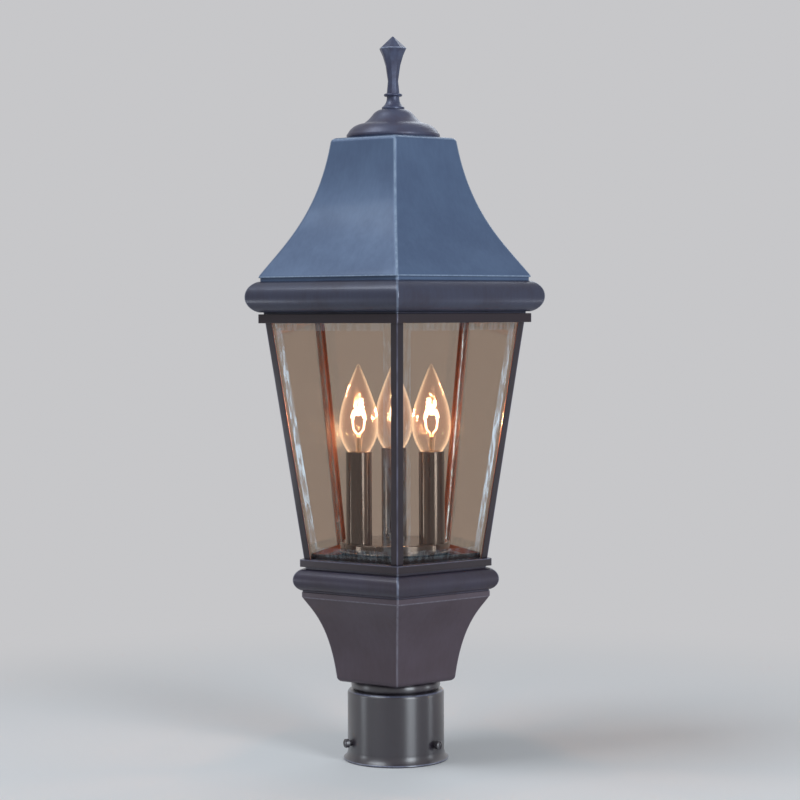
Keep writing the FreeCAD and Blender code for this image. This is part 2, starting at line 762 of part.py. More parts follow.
def bulb_glass(place):
    mouth = z_sleeve_top - LOOSE_FIT
    tip = z_sleeve_top + BULB_TIP
    outer = bulb_outline(z_bulb_glass, mouth, 0, tip - BULB_TIP_H).dome(tip)
    inner = bulb_outline(z_bulb_glass + BULB_GLASS_T, mouth, BULB_GLASS_T, tip - BULB_TIP_T)
    inner.line(0, tip - BULB_TIP_T)
    return moved(turned(outer.face()).cut(turned(inner.face())), place)


def bulb_filament(place):
    """The glass stem, its two lead wires and the filament that arches between them."""
    foot = z_bulb_glass + BULB_GLASS_T
    stem_top = z_sleeve_top + GLASS_STEM_TOP
    lamp = z_sleeve_top + FILAMENT_Z
    outline = Profile(0, foot).line(GLASS_STEM_R, foot).line(GLASS_STEM_R, stem_top - GLASS_STEM_R)
    outline.dome(stem_top)
    pieces = [turned(outline.face())]
    root = stem_top - LEAD_ROOT_DEPTH
    for side in (-1, 1):
        start = V(side * LEAD_ROOT_X, 0, root)
        lean = V(side * FILAMENT_SPREAD, 0, lamp) - start
        pieces.append(Part.makeCylinder(WIRE_R, lean.Length, start, lean))
    coil = Part.Circle(V(FILAMENT_SPREAD, 0, lamp), UP, FILAMENT_R).toShape()
    pieces.append(Part.Face(Part.Wire(coil)).revolve(V(0, 0, lamp), V(0, -1, 0), 180))
    return moved(joined(pieces), place)


def write(name, shape):
    if not shape.isValid():
        print("not valid:", name)
    shape.exportStep(os.path.join("parts", name + ".step"))


def main():
    os.makedirs("parts", exist_ok=True)
    write("post_collar", post_collar())
    write("neck_ring", neck_ring())
    write("base_body", base_body())
    write("base_moulding", base_moulding())
    write("cage_bottom_frame", cage_bottom_frame())
    write("cage_top_frame", cage_top_frame())
    for index in range(SIDES):
        write("corner_post_%d" % (index + 1), corner_post(index))
        write("glass_pane_%d" % (index + 1), glass_pane(index))
    write("top_crossbar", top_crossbar())
    write("crossbar_screws", crossbar_screws())
    write("finial_rod", finial_rod())
    write("rod_nuts", rod_nuts())
    write("roof_moulding", roof_moulding())
    write("roof_shell", roof_shell())
    write("cap_dome", cap_dome())
    write("finial", finial())
    write("candle_pan", candle_pan())
    write("centre_stem", centre_stem())
    write("stem_nuts", stem_nuts())
    write("socket_nuts", socket_nuts())
    for index, place in enumerate(candle_places()):
        number = index + 1
        write("socket_stem_%d" % number, socket_stem(place))
        write("candle_sleeve_%d" % number, candle_sleeve(place))
        write("lamp_socket_%d" % number, lamp_socket(place))
        write("bulb_cap_%d" % number, bulb_cap(place))
        write("bulb_glass_%d" % number, bulb_glass(place))
        write("bulb_filament_%d" % number, bulb_filament(place))
    for index, angle in enumerate(screw_angles()):
        write("set_screw_%d" % (index + 1), set_screw(angle))


main()
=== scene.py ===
"""Dresses the five-sided post top lantern in satin bronze, bevelled glass and three lit candle lamps.

Lengths are millimetres until a point is drawn, where MM turns them into metres.
"""

from __future__ import annotations

import json
import logging
import math
from dataclasses import dataclass
from enum import Enum
from typing import Callable, Iterable, Sequence

import bmesh
import bpy
from mathutils import Matrix, Vector

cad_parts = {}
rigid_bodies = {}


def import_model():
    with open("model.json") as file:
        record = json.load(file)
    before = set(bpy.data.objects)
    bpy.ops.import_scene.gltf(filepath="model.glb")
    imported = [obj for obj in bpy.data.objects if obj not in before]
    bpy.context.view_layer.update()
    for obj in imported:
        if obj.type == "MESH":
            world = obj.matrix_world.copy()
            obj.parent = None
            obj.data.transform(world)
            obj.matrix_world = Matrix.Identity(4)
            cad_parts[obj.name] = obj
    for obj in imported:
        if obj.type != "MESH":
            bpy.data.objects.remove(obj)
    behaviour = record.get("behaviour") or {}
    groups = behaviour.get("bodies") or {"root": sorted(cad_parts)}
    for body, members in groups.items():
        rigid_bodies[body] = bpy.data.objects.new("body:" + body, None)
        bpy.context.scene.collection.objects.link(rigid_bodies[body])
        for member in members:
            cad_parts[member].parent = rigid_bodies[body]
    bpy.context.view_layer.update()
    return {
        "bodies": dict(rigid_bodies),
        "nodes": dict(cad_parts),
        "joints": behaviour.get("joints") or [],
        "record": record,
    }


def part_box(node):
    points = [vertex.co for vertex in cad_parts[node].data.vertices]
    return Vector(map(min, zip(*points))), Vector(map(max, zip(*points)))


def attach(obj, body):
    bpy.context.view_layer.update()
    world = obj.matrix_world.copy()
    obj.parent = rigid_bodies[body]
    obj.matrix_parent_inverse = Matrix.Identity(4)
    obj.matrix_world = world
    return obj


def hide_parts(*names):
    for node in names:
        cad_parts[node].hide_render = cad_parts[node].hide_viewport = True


LOG = logging.getLogger("lantern")

MM = 0.001
DOUBLES = 1e-6
TOUCH = 0.02  # between pieces that sit on each other
SIDES = 5
STEP = math.tau / SIDES
FRONT = -math.pi / 2
CORNER_STRETCH = 1 / math.cos(STEP / 2)
QUARTER_BOW = 0.293  # of a quarter circle, as a share of its radius
ROUND_STEPS = 96
CRISP = 34.0  # degrees, from which an edge counts as crisp
SCREWS = 3
FIRST_SCREW = -159.0  # the direction of the first of them in degrees
SCREW_HEIGHT = 16.0
LAMPS = 3
STEM_HOLE = 5.2
LOOKS = ("Camera", "Glossy", "Transmission")
ORIGIN = Vector((0, 0, 0))

Triple = tuple[float, float, float]
Screen = tuple[int, int, int]
Point = tuple[float, float]

# WARM and BLUSH colour the painted glow of the lamp glass; CANDLELIT and SKY tint the glass's reflections
# warm and blue, a painted reflection colour.
WARM: Triple = (1.0, 0.80, 0.56)
BLUSH: Triple = (0.95, 0.52, 0.38)
CANDLELIT: Triple = (1.0, 0.93, 0.84)
SKY: Triple = (0.66, 0.86, 1.0)


def srgb(red: int, green: int, blue: int) -> Triple:
    """Turns a colour from 0 to 255, as a screen shows it, into the linear values that shaders take."""
    shares = (value / 255 for value in (red, green, blue))
    return tuple(share / 12.92 if share <= 0.04045 else ((share + 0.055) / 1.055) ** 2.4 for share in shares)


def polar(radius: float, angle: float, height: float) -> Vector:
    """A point in millimetres at a radius and angle about the lantern's axis."""
    return Vector((radius * math.cos(angle), radius * math.sin(angle), height))


def side_angle(index: int) -> float:
    """The direction that one of the five sides faces."""
    return FRONT + STEP * (index + 0.5)


def screw_angle(index: int) -> float:
    """The direction of a set screw."""
    return math.radians(FIRST_SCREW + 360.0 / SCREWS * index)


@dataclass(frozen=True)
class Extent:
    """The box of a CAD node in millimetres."""

    low: Vector
    high: Vector

    @classmethod
    def of(cls, node: str) -> Extent:
        """Reads a node's box from the frame."""
        low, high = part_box(node)
        return cls(low / MM, high / MM)

    @property
    def flat(self) -> float:
        """The distance from the axis to a side of a five-sided node with a corner in front."""
        return self.high.y

    @property
    def radius(self) -> float:
        """Half the width of a round node."""
        return (self.high.x - self.low.x) / 2

    @property
    def centre(self) -> Vector:
        """The middle of the box."""
        return (self.low + self.high) / 2

    @property
    def axis(self) -> Vector:
        """The point under the middle of the box."""
        return Vector((self.centre.x, self.centre.y, 0))


# ---------------------------------------------------------------- shader maths


@dataclass(eq=False)
class Link:
    """A node's output that can be used in Python sums, each of which adds a Math node."""

    shader: Shader
    socket: bpy.types.NodeSocket

    def math(self, operation: str, *others: Link | float) -> Link:
        """Adds a Math node that takes this value and then the others."""
        return self.shader.maths(operation, self, *others)

    def __add__(self, other: Link | float) -> Link:
        """Their sum."""
        return self.math("ADD", other)

    __radd__ = __add__

    def __sub__(self, other: Link | float) -> Link:
        """This less the other."""
        return self.math("SUBTRACT", other)

    def __rsub__(self, other: Link | float) -> Link:
        """The other less this."""
        return self.shader.maths("SUBTRACT", other, self)

    def __mul__(self, other: Link | float) -> Link:
        """Their product."""
        return self.math("MULTIPLY", other)

    __rmul__ = __mul__

    def __truediv__(self, other: Link | float) -> Link:
        """This divided by the other."""
        return self.math("DIVIDE", other)

    def __pow__(self, power: float) -> Link:
        """This to a power."""
        return self.math("POWER", power)

    def fade(self, start: float, end: float) -> Link:
        """A smooth step from 0 at the start to 1 at the end, held between them.

        Args:
            start: Where the step leaves 0.
            end: Where it reaches 1. It may be less than the start.

        Returns:
            The step.
        """
        if start > end:
            return 1 - self.fade(end, start)
        inputs = {"Value": self, "From Min": start, "From Max": end}
        return self.shader.node("ShaderNodeMapRange", {"interpolation_type": "SMOOTHSTEP"}, inputs)


class Shader:
    """The node tree of a material or world, filled from Python expressions."""

    def __init__(self, owner: bpy.types.Material | bpy.types.World) -> None:
        """Empties the owner's node tree.

        Args:
            owner: The material or world.
        """
        owner.use_nodes = True
        self.owner = owner
        self.tree = owner.node_tree
        self.tree.nodes.clear()

    @classmethod
    def of_material(cls, name: str) -> Shader:
        """Starts a new material."""
        return cls(bpy.data.materials.new(name))

    @staticmethod
    def socket(sockets: Iterable[bpy.types.NodeSocket], key: str | int) -> bpy.types.NodeSocket:
        """Finds a socket.

        Args:
            sockets: A node's inputs or outputs.
            key: Its number, or its name among those in use.

        Returns:
            The socket.
        """
        if isinstance(key, int):
            return list(sockets)[key]
        return next(socket for socket in sockets if socket.enabled and socket.name == key)

    def node(
        self,
        kind: str,
        settings: dict[str, object] | None = None,
        inputs: dict[str | int, object] | None = None,
        output: str | int = 0,
    ) -> Link:
        """Adds one node.

        Args:
            kind: The node's type.
            settings: Its properties, set before its sockets.
            inputs: Values or links of its sockets, by name or number.
            output: Which of its outputs to return.

        Returns:
            That output, or the first input of a node that has no outputs.
        """
        node = self.tree.nodes.new(kind)
        for key, value in (settings or {}).items():
            setattr(node, key, value)
        for key, value in (inputs or {}).items():
            socket = self.socket(node.inputs, key)
            if isinstance(value, Link):
                self.tree.links.new(value.socket, socket)
            else:
                socket.default_value = value
        return Link(self, self.socket(node.outputs, output) if node.outputs else node.inputs[0])

    def maths(self, operation: str, *values: Link | float) -> Link:
        """Adds a Math node."""
        return self.node("ShaderNodeMath", {"operation": operation}, dict(enumerate(values)))

    def place(self) -> Link:
        """The point on the piece, in metres from the lantern's origin."""
        return self.node("ShaderNodeTexCoord", output="Object")

    def axes(self) -> tuple[Link, Link, Link]:
        """The point's three coordinates in millimetres."""
        point = self.place()
        return tuple(self.node("ShaderNodeSeparateXYZ", None, {0: point}, axis) / MM for axis in range(3))

    def noise(self, size: float, detail: float = 3.0, stretch: Triple = (1.0, 1.0, 1.0)) -> Link:
        """Cloudy noise between 0 and 1.

        Args:
            size: The size of its patches in millimetres.
            detail: How many finer layers it has.
            stretch: How much finer it is along each axis.

        Returns:
            The noise.
        """
        scaled = self.node("ShaderNodeMapping", None, {"Vector": self.place(), "Scale": stretch})
        inputs = {"Vector": scaled, "Scale": 1 / (size * MM), "Detail": detail, "Roughness": 0.55}
        return self.node("ShaderNodeTexNoise", None, inputs, "Fac")

    def mix(self, share: Link | float, first: Link | Triple, second: Link | Triple) -> Link:
        """Mixes two colours.

        Args:
            share: How much of the second colour there is.
            first: The first colour.
            second: The second colour.

        Returns:
            The mixed colour.
        """
        first, second = (value if isinstance(value, Link) else (*value, 1.0) for value in (first, second))
        inputs = {"Factor": share, "A": first, "B": second}
        return self.node("ShaderNodeMix", {"data_type": "RGBA"}, inputs, "Result")

    def blend(self, share: Link | float, first: Link, second: Link) -> Link:
        """Mixes two surfaces, of which the share belongs to the second."""
        return self.node("ShaderNodeMixShader", None, {0: share, 1: first, 2: second})

    def principled(self, **inputs: object) -> Link:
        """Adds a Principled surface, whose sockets are written with _ for each space."""
        named = {key.replace("_", " "): value for key, value in inputs.items()}
        return self.node("ShaderNodeBsdfPrincipled", None, named)

    def glow(self, colour: Triple, strength: Link | float = 1.0) -> Link:
        """Adds a surface that gives off its own light."""
        return self.node("ShaderNodeEmission", None, {"Color": (*colour, 1.0), "Strength": strength})

    def seen(self) -> Link:
        """1 where the camera, a reflection or clear glass looks, and 0 where only light falls."""
        looks = [self.node("ShaderNodeLightPath", output="Is %s Ray" % look) for look in LOOKS]
        return looks[0].math("MAXIMUM", looks[1]).math("MAXIMUM", looks[2])

    def bump(self, height: Link, depth: float, under: Link | None = None) -> Link:
        """Turns a height into a normal.

        Args:
            height: The height, between 0 and 1.
            depth: The depth in millimetres that a height of 1 stands for.
            under: Another bump's normal to lie on.

        Returns:
            The normal.
        """
        inputs = {"Height": height, "Distance": depth * MM, "Strength": 1.0}
        if under:
            inputs["Normal"] = under
        return self.node("ShaderNodeBump", None, inputs)

    def finish(self, surface: Link) -> bpy.types.Material | bpy.types.World:
        """Joins a surface to the output.

        Args:
            surface: The surface.

        Returns:
            The material or world.
        """
        kind = "World" if isinstance(self.owner, bpy.types.World) else "Material"
        self.node("ShaderNodeOutput" + kind, None, {"Surface": surface})
        return self.owner


# -------------------------------------------------------------------- finishes


@dataclass(frozen=True)
class SatinMetal:
    """Dark bronze metal, some of it painted slate blue as if lit from above, with a satin skin, faint clouds
    and lighter edges that are partly rubbed wear and partly painted highlight.

    Attributes:
        name: The material's name.
        face: The main colour, as a screen shows it.
        cloud: The colour of its faint patches.
        wear_and_highlight: The colour of its lighter edges, partly wear from handling and partly painted
            highlight.
        metallic: How much it reflects like bare metal.
        roughness: How soft its gloss is.
        gloss: How strongly it shines under its lacquer.
        lacquer: How much clear lacquer lies on it.
        lacquer_roughness: How soft the lacquer's gloss is.
        lacquer_index: The lacquer's index of refraction.
        cloud_size: The size of the patches in millimetres.
        mitre_band: Half the width of the lighter line along each mitre, worn and painted highlight, or 0 for
            a round piece.
        rings: The heights of the level edges that are lightened, as wear and painted highlight.
        ring_band: Half the width of the lighter line along each of them.
        brushed: How strongly it is brushed round its axis, which draws its highlights out along its height.
    """

    name: str
    face: Screen
    cloud: Screen
    wear_and_highlight: Screen
    metallic: float = 0.2
    roughness: float = 0.36
    gloss: float = 0.35
    lacquer: float = 0.3
    lacquer_roughness: float = 0.16
    lacquer_index: float = 1.5
    cloud_size: float = 38.0
    mitre_band: float = 0.0
    rings: tuple[float, ...] = ()
    ring_band: float = 0.8
    brushed: float = 0.0

    CORE = 0.2  # the share of a worn and painted highlight line that is fully bright
    BUCKLE = (70.0, 0.10)  # the size and depth in millimetres of how far the sheet is out of true
    GRAIN = (0.9, 0.012)  # the size and depth of the skin's grain
    UPRIGHT = 0.25  # the turn that draws highlights out along the height

    def mitres(self, x: Link, y: Link) -> Link:
        """How near each point is to a mitre: 1 on it, 0 away from it.

        Args:
            x: The point's distance to the right in millimetres.
            y: Its distance back.

        Returns:
            The share.
        """
        radius = (x * x + y * y).math("SQRT")
        angle = y.math("ARCTAN2", x)
        folded = (angle - FRONT + STEP / 2 + math.tau).math("MODULO", STEP) - STEP / 2
        off_mitre = (radius * folded.math("SINE")).math("ABSOLUTE")
        return off_mitre.fade(self.mitre_band, self.mitre_band * self.CORE)

    def wear_and_highlight_share(self, shader: Shader) -> Link | float:
        """How much of the lighter edge colour, partly wear and partly painted highlight, each point gets.

        Args:
            shader: The material's shader.

        Returns:
            The share.
        """
        x, y, height = shader.axes()
        share: Link | float = self.mitres(x, y) if self.mitre_band else 0.0
        for ring in self.rings:
            line = (height - ring).math("ABSOLUTE").fade(self.ring_band, self.ring_band * self.CORE)
            share = line.math("MAXIMUM", share)
        return share

    def material(self) -> bpy.types.Material:
        """Builds the material.

        Returns:
            The material.
        """
        shader = Shader.of_material(self.name)
        clouds = shader.noise(self.cloud_size).fade(0.36, 0.66)
        streaks = shader.noise(2.6, 2.0, (1.0, 1.0, 0.07)).fade(0.30, 0.70)
        colour = shader.mix(clouds * 0.6 + streaks * 0.25, srgb(*self.face), srgb(*self.cloud))
        # painted highlight: mitres and rings are lightened in colour, partly as wear and partly in place of
        # highlights
        wear_and_highlight = self.wear_and_highlight_share(shader) * (0.45 + streaks * 0.45)
        (buckle, sag), (grain, depth) = self.BUCKLE, self.GRAIN
        sheet = shader.bump(shader.noise(buckle, 1.0), sag)
        surface = shader.principled(
            Base_Color=shader.mix(wear_and_highlight, colour, srgb(*self.wear_and_highlight)),
            Metallic=self.metallic,
            Roughness=self.roughness + clouds * 0.05 + streaks * 0.03 - wear_and_highlight * 0.08,
            Normal=shader.bump(shader.noise(grain, 1.0), depth, sheet),
            Specular_IOR_Level=self.gloss,
            Coat_Weight=self.lacquer,
            Coat_Roughness=self.lacquer_roughness,
            Coat_IOR=self.lacquer_index,
            Anisotropic=self.brushed,
            Anisotropic_Rotation=self.UPRIGHT,
        )
        return shader.finish(surface)


@dataclass(frozen=True)
class ClearGlass:
    """Clear glass that lets light through and shines towards grazing, and in the lamps carries a painted
    glow.

    Attributes:
        name: The material's name.
        tint: The colour of what is seen through one of its surfaces.
        sheen: The colour of its reflections.
        body: The least share of the surface that reflects.
        edge: The share that is added at grazing.
        rise: The power with which reflection grows towards grazing.
        wave: The depth of its ripples in millimetres.
        wave_size: The size of the ripples in millimetres.
        roughness: How soft its gloss is.
        streaks: How much its shine breaks up into streaks along the height.
        painted_shine_glow: How brightly its shine glows, a painted glow of the lamp's light inside it.
        painted_glow: How much of the surface glows at the height of the filament, a painted glow in place of
            the filament's halo.
    """

    name: str
    tint: Triple
    sheen: Triple
    body: float
    edge: float
    rise: float
    wave: float
    wave_size: float
    roughness: float = 0.02
    streaks: float = 0.0
    painted_shine_glow: float = 0.0
    painted_glow: float = 0.0

    PAINTED_GLOW_HEIGHTS = (262.0, 332.0)  # where the painted glow starts and ends, in millimetres

    def material(self) -> bpy.types.Material:
        """Builds the material.

        Returns:
            The material.
        """
        shader = Shader.of_material(self.name)
        ripple = shader.bump(shader.noise(self.wave_size, 2.0), self.wave)
        smear = shader.noise(14.0, 3.0).fade(0.45, 0.75)
        facing = shader.node("ShaderNodeLayerWeight", None, {"Blend": 0.5, "Normal": ripple}, "Facing")
        share = facing ** self.rise * self.edge + self.body + smear * (self.body * 0.6)
        if self.streaks:
            bands = shader.noise(3.2, 2.0, (1.0, 1.0, 0.16)).fade(0.38, 0.62)
            share = share * (1 - self.streaks + bands * (2 * self.streaks))
        through = shader.node("ShaderNodeBsdfTransparent", None, {"Color": (*self.tint, 1.0)})
        shine = shader.principled(
            Base_Color=(*self.sheen, 1.0),
            Metallic=1.0,
            Roughness=self.roughness + smear * (self.roughness * 0.5),
            Normal=ripple,
            # painted glow: the shine gives off warm light of its own
            Emission_Color=(*WARM, 1.0),
            Emission_Strength=self.painted_shine_glow,
        )
        surface = shader.blend(share.math("MINIMUM", 1.0), through, shine)
        # painted glow: a warm band of light at the filament's height
        if self.painted_glow:
            _, _, height = shader.axes()
            low, high = self.PAINTED_GLOW_HEIGHTS
            band = height.fade(low, (low + high) / 2) * height.fade(high, (low + high) / 2)
            surface = shader.blend((0.3 + band * 0.7) * self.painted_glow, surface, shader.glow(BLUSH))
        return shader.finish(surface)


@dataclass(frozen=True)
class PlainSolid:
    """Brass, steel or phenolic: an even colour with fine wear.

    Attributes:
        name: The material's name.
        face: The main colour, as a screen shows it.
        worn: The colour of its worn or dusty specks.
        metallic: How much it reflects like bare metal.
        roughness: How soft its gloss is.
    """

    name: str
    face: Screen
    worn: Screen
    metallic: float
    roughness: float

    SPECK_SIZE = 3.0

    def material(self) -> bpy.types.Material:
        """Builds the material.

        Returns:
            The material.
        """
        shader = Shader.of_material(self.name)
        specks = shader.noise(self.SPECK_SIZE, 4.0).fade(0.42, 0.72)
        surface = shader.principled(
            Base_Color=shader.mix(specks * 0.7, srgb(*self.face), srgb(*self.worn)),
            Metallic=self.metallic,
            Roughness=self.roughness + specks * 0.12,
            Normal=shader.bump(shader.noise(0.5, 1.0, (0.1, 0.1, 1.0)), 0.01),
        )
        return shader.finish(surface)


@dataclass(frozen=True)
class HotWire:
    """A filament or lead that glows, whitest at the height of the filament.

    Attributes:
        name: The material's name.
        core: The colour at the filament.
        ember: The colour at the cooler end.
        hot_from: The height in millimetres where the glow starts.
        hot_to: The height where it is whitest.
        strength: How bright it is.
    """

    name: str
    core: Triple
    ember: Triple
    hot_from: float
    hot_to: float
    strength: float

    def material(self) -> bpy.types.Material:
        """Builds the material.

        Returns:
            The material.
        """
        shader = Shader.of_material(self.name)
        _, _, height = shader.axes()
        flicker = shader.noise(1.2, 2.0)
        heat = height.fade(self.hot_from, self.hot_to) * (0.8 + flicker * 0.2)
        surface = shader.principled(
            Base_Color=(*self.core, 1.0),
            Roughness=0.4,
            Emission_Color=shader.mix(heat, self.ember, self.core),
            Emission_Strength=self.strength,
        )
        return shader.finish(surface)


class Finish(Enum):
    """The lantern's finishes. Each value is the record's material slot and the recipe."""

    # Painted light: the roof, cap and finial are one bronze painted bluer and lighter, as lit from above, and
    # the two trims are it painted darker, as shaded.
    ROOF = "bronze", SatinMetal(
        "bronze_painted_lit_roof", (84, 104, 134), (74, 92, 122), (150, 168, 192),
        roughness=0.44, lacquer=0.15, mitre_band=1.6, rings=(524.6, 409.6),
    )
    # painted shade: the roof trim is painted darker, as shaded
    ROOF_TRIM = "bronze", SatinMetal(
        "bronze_painted_shade_roof_trim", (62, 66, 86), (52, 50, 66), (132, 144, 166), mitre_band=1.4,
    )
    # painted light: the cap is painted bluer and lighter, as lit from above
    CAP = "bronze", SatinMetal(
        "bronze_painted_lit_cap", (78, 82, 104), (70, 66, 84), (130, 140, 164),
        roughness=0.40, lacquer=0.15, lacquer_roughness=0.3, cloud_size=18.0, rings=(526.6,),
    )
    # painted light: the finial is painted bluer and lighter, as lit from above
    FINIAL = "bronze", SatinMetal(
        "bronze_painted_lit_finial", (80, 88, 114), (62, 62, 84), (150, 160, 184),
        roughness=0.38, lacquer=0.15, lacquer_roughness=0.3, cloud_size=9.0, rings=(602.3,),
    )
    BASE = "bronze", SatinMetal(
        "satin_bronze_base", (80, 69, 79), (72, 60, 68), (124, 120, 132), mitre_band=1.3, rings=(141.5,),
    )
    # painted shade: the base trim is painted darker, as shaded
    BASE_TRIM = "bronze", SatinMetal(
        "bronze_painted_shade_base_trim", (60, 56, 72), (52, 45, 56), (124, 130, 150), mitre_band=1.4,
    )
    FRAME = "dark_bronze", SatinMetal(
        "satin_bronze_frame", (42, 32, 40), (35, 27, 33), (104, 104, 124),
        mitre_band=1.0, rings=(173.2,), ring_band=0.6,
    )
    # painted light: inner faces get a pink copper colour in place of the lamps' warm light on the dark bronze
    INSIDE = "dark_bronze", SatinMetal(
        "bronze_painted_lamplight", (186, 124, 102), (150, 92, 74), (200, 150, 130), metallic=0.4,
    )
    COLLAR = "dark_bronze", SatinMetal(
        "satin_bronze_collar", (34, 27, 38), (28, 22, 31), (110, 116, 140), metallic=0.0, roughness=0.32,
        gloss=1.0, lacquer=0.5, lacquer_roughness=0.30, rings=(59.2, 1.4), brushed=0.9,
    )
    CANDLE = "dark_bronze", SatinMetal(
        "satin_bronze_candle", (50, 40, 50), (42, 32, 42), (110, 116, 140), metallic=0.0, roughness=0.26,
        gloss=1.0, lacquer=1.0, lacquer_roughness=0.12, lacquer_index=1.95, brushed=0.9,
    )
    # painted shade: the clear panes and their bevels are tinted warm grey, which darkens what is seen through
    # them
    PANE = "pane_glass", ClearGlass(
        "clear_pane", tint=(0.82, 0.765, 0.715), sheen=(1.0, 1.0, 1.0), body=0.008, edge=0.9, rise=5.0,
        wave=0.02, wave_size=40.0, roughness=0.01,
    )
    PANE_BEVEL = "pane_glass", ClearGlass(
        "pane_bevel", tint=(0.80, 0.76, 0.72), sheen=SKY, body=0.05, edge=0.9, rise=3.0,
        wave=0.16, wave_size=12.0, roughness=0.18, streaks=0.6,
    )
    PANE_EDGE = "pane_glass", ClearGlass(
        "pane_edge", tint=(0.74, 0.78, 0.80), sheen=SKY, body=0.35, edge=0.8, rise=1.5,
        wave=0.30, wave_size=5.0, roughness=0.2, streaks=0.6,
    )
    # painted glow: the lamp glass and its stem glow warm, as if lit by the filament
    BULB = "bulb_glass", ClearGlass(
        "lamp_glass", tint=(0.985, 0.96, 0.945), sheen=CANDLELIT, body=0.02, edge=1.0, rise=3.0,
        wave=0.05, wave_size=9.0, painted_shine_glow=0.9, painted_glow=0.10,
    )
    STEM_GLASS = "bulb_glass", ClearGlass(
        "lamp_stem_glass", tint=(0.95, 0.86, 0.78), sheen=CANDLELIT, body=0.12, edge=1.0, rise=1.6,
        wave=0.08, wave_size=3.0, painted_shine_glow=0.5,
    )
    FILAMENT = "filament", HotWire("filament_hot", (1.0, 0.86, 0.62), (1.0, 0.34, 0.10), 270.0, 292.0, 7.0)
    BRASS = "brass", PlainSolid("lamp_brass", (190, 160, 96), (130, 104, 60), 1.0, 0.30)
    STEEL = "steel", PlainSolid("zinc_steel", (150, 152, 156), (104, 102, 100), 1.0, 0.34)
    PHENOLIC = "phenolic", PlainSolid("black_phenolic", (34, 31, 30), (58, 54, 52), 0.0, 0.42)

    @property
    def slot(self) -> str:
        """The record's material slot."""
        return self.value[0]

    def material(self) -> bpy.types.Material:
        """The finish's material, built the first time it is asked for."""
        recipe = self.value[1]
        return bpy.data.materials.get(recipe.name) or recipe.material()


# ------------------------------------------------------------------- modelling


@dataclass
class Section:
    """An outline of (distance out, height) points in millimetres, walked from its first point.

    A bow is positive to the right of the way walked, which is outwards on the way up.
    """

    points: list[Point]

    def walk(self, *points: Point) -> Section:
        """Walks straight from point to point."""
        self.points.extend(points)
        return self

    def arc(self, out: float, height: float, bow: float, steps: int = 6) -> Section:
        """Walks to a point along an arc.

        Args:
            out: The end's distance out.
            height: The end's height.
            bow: How far the arc stands off its chord.
            steps: How many edges it has.

        Returns:
            The section.
        """
        start = Vector(self.points[-1])
        chord = Vector((out, height)) - start
        length = chord.length
        along = chord / length
        right = Vector((along.y, -along.x))
        radius = (length * length / 4 + bow * bow) / (2 * bow)
        half_turn = math.asin(length / 2 / abs(radius))
        if abs(bow) > length / 2:
            half_turn = math.pi - half_turn
        middle = start + chord / 2 + right * (bow - radius)
        for step in range(1, steps + 1):
            turn = half_turn * (2 * step / steps - 1)
            spoke = along * math.sin(turn) + right * (math.cos(turn) * math.copysign(1, bow))
            self.points.append((middle + spoke * abs(radius))[:])
        return self

    def curve(self, poles: Sequence[Point], steps: int) -> Section:
        """Walks a cubic curve.

        Args:
            poles: Its start, which the section has reached, its two poles and its end.
            steps: How many edges it has.

        Returns:
            The section.
        """
        for step in range(1, steps + 1):
            t = step / steps
            weights = ((1 - t) ** 3, 3 * t * (1 - t) ** 2, 3 * t * t * (1 - t), t ** 3)
            terms = (Vector(pole) * weight for pole, weight in zip(poles, weights))
            self.points.append(sum(terms, Vector((0, 0)))[:])
        return self

    def closed(self) -> Section:
        """Walks back to the first point."""
        return self.walk(self.points[0])


def hollow(wide: float, narrow: Point, reach: float, shares: Sequence[Point]) -> list[Point]:
    """The poles of a hollow curve, where shares are of its reach out and of its way to the narrow end."""
    ends = [(1, 0), *shares, (0, 1)]
    return [(narrow[0] + reach * out, wide + (narrow[1] - wide) * along) for out, along in ends]


def mode(name: str) -> None:
    """Switches between object and edit mode."""
    bpy.ops.object.mode_set(mode=name)


def select_only(*items: bpy.types.Object) -> None:
    """Selects objects and no others, with the first one active.

    Args:
        *items: The objects.
    """
    bpy.ops.object.select_all(action="DESELECT")
    for item in items:
        item.select_set(True)
    bpy.context.view_layer.objects.active = items[0]


def settle() -> None:
    """Writes the active object's place and turn into its mesh."""
    bpy.ops.object.transform_apply(location=True, rotation=True, scale=True)


class Kind(Enum):
    """What is picked from a mesh, by the name of the mesh's own list."""

    EDGES = "edges"
    FACES = "faces"


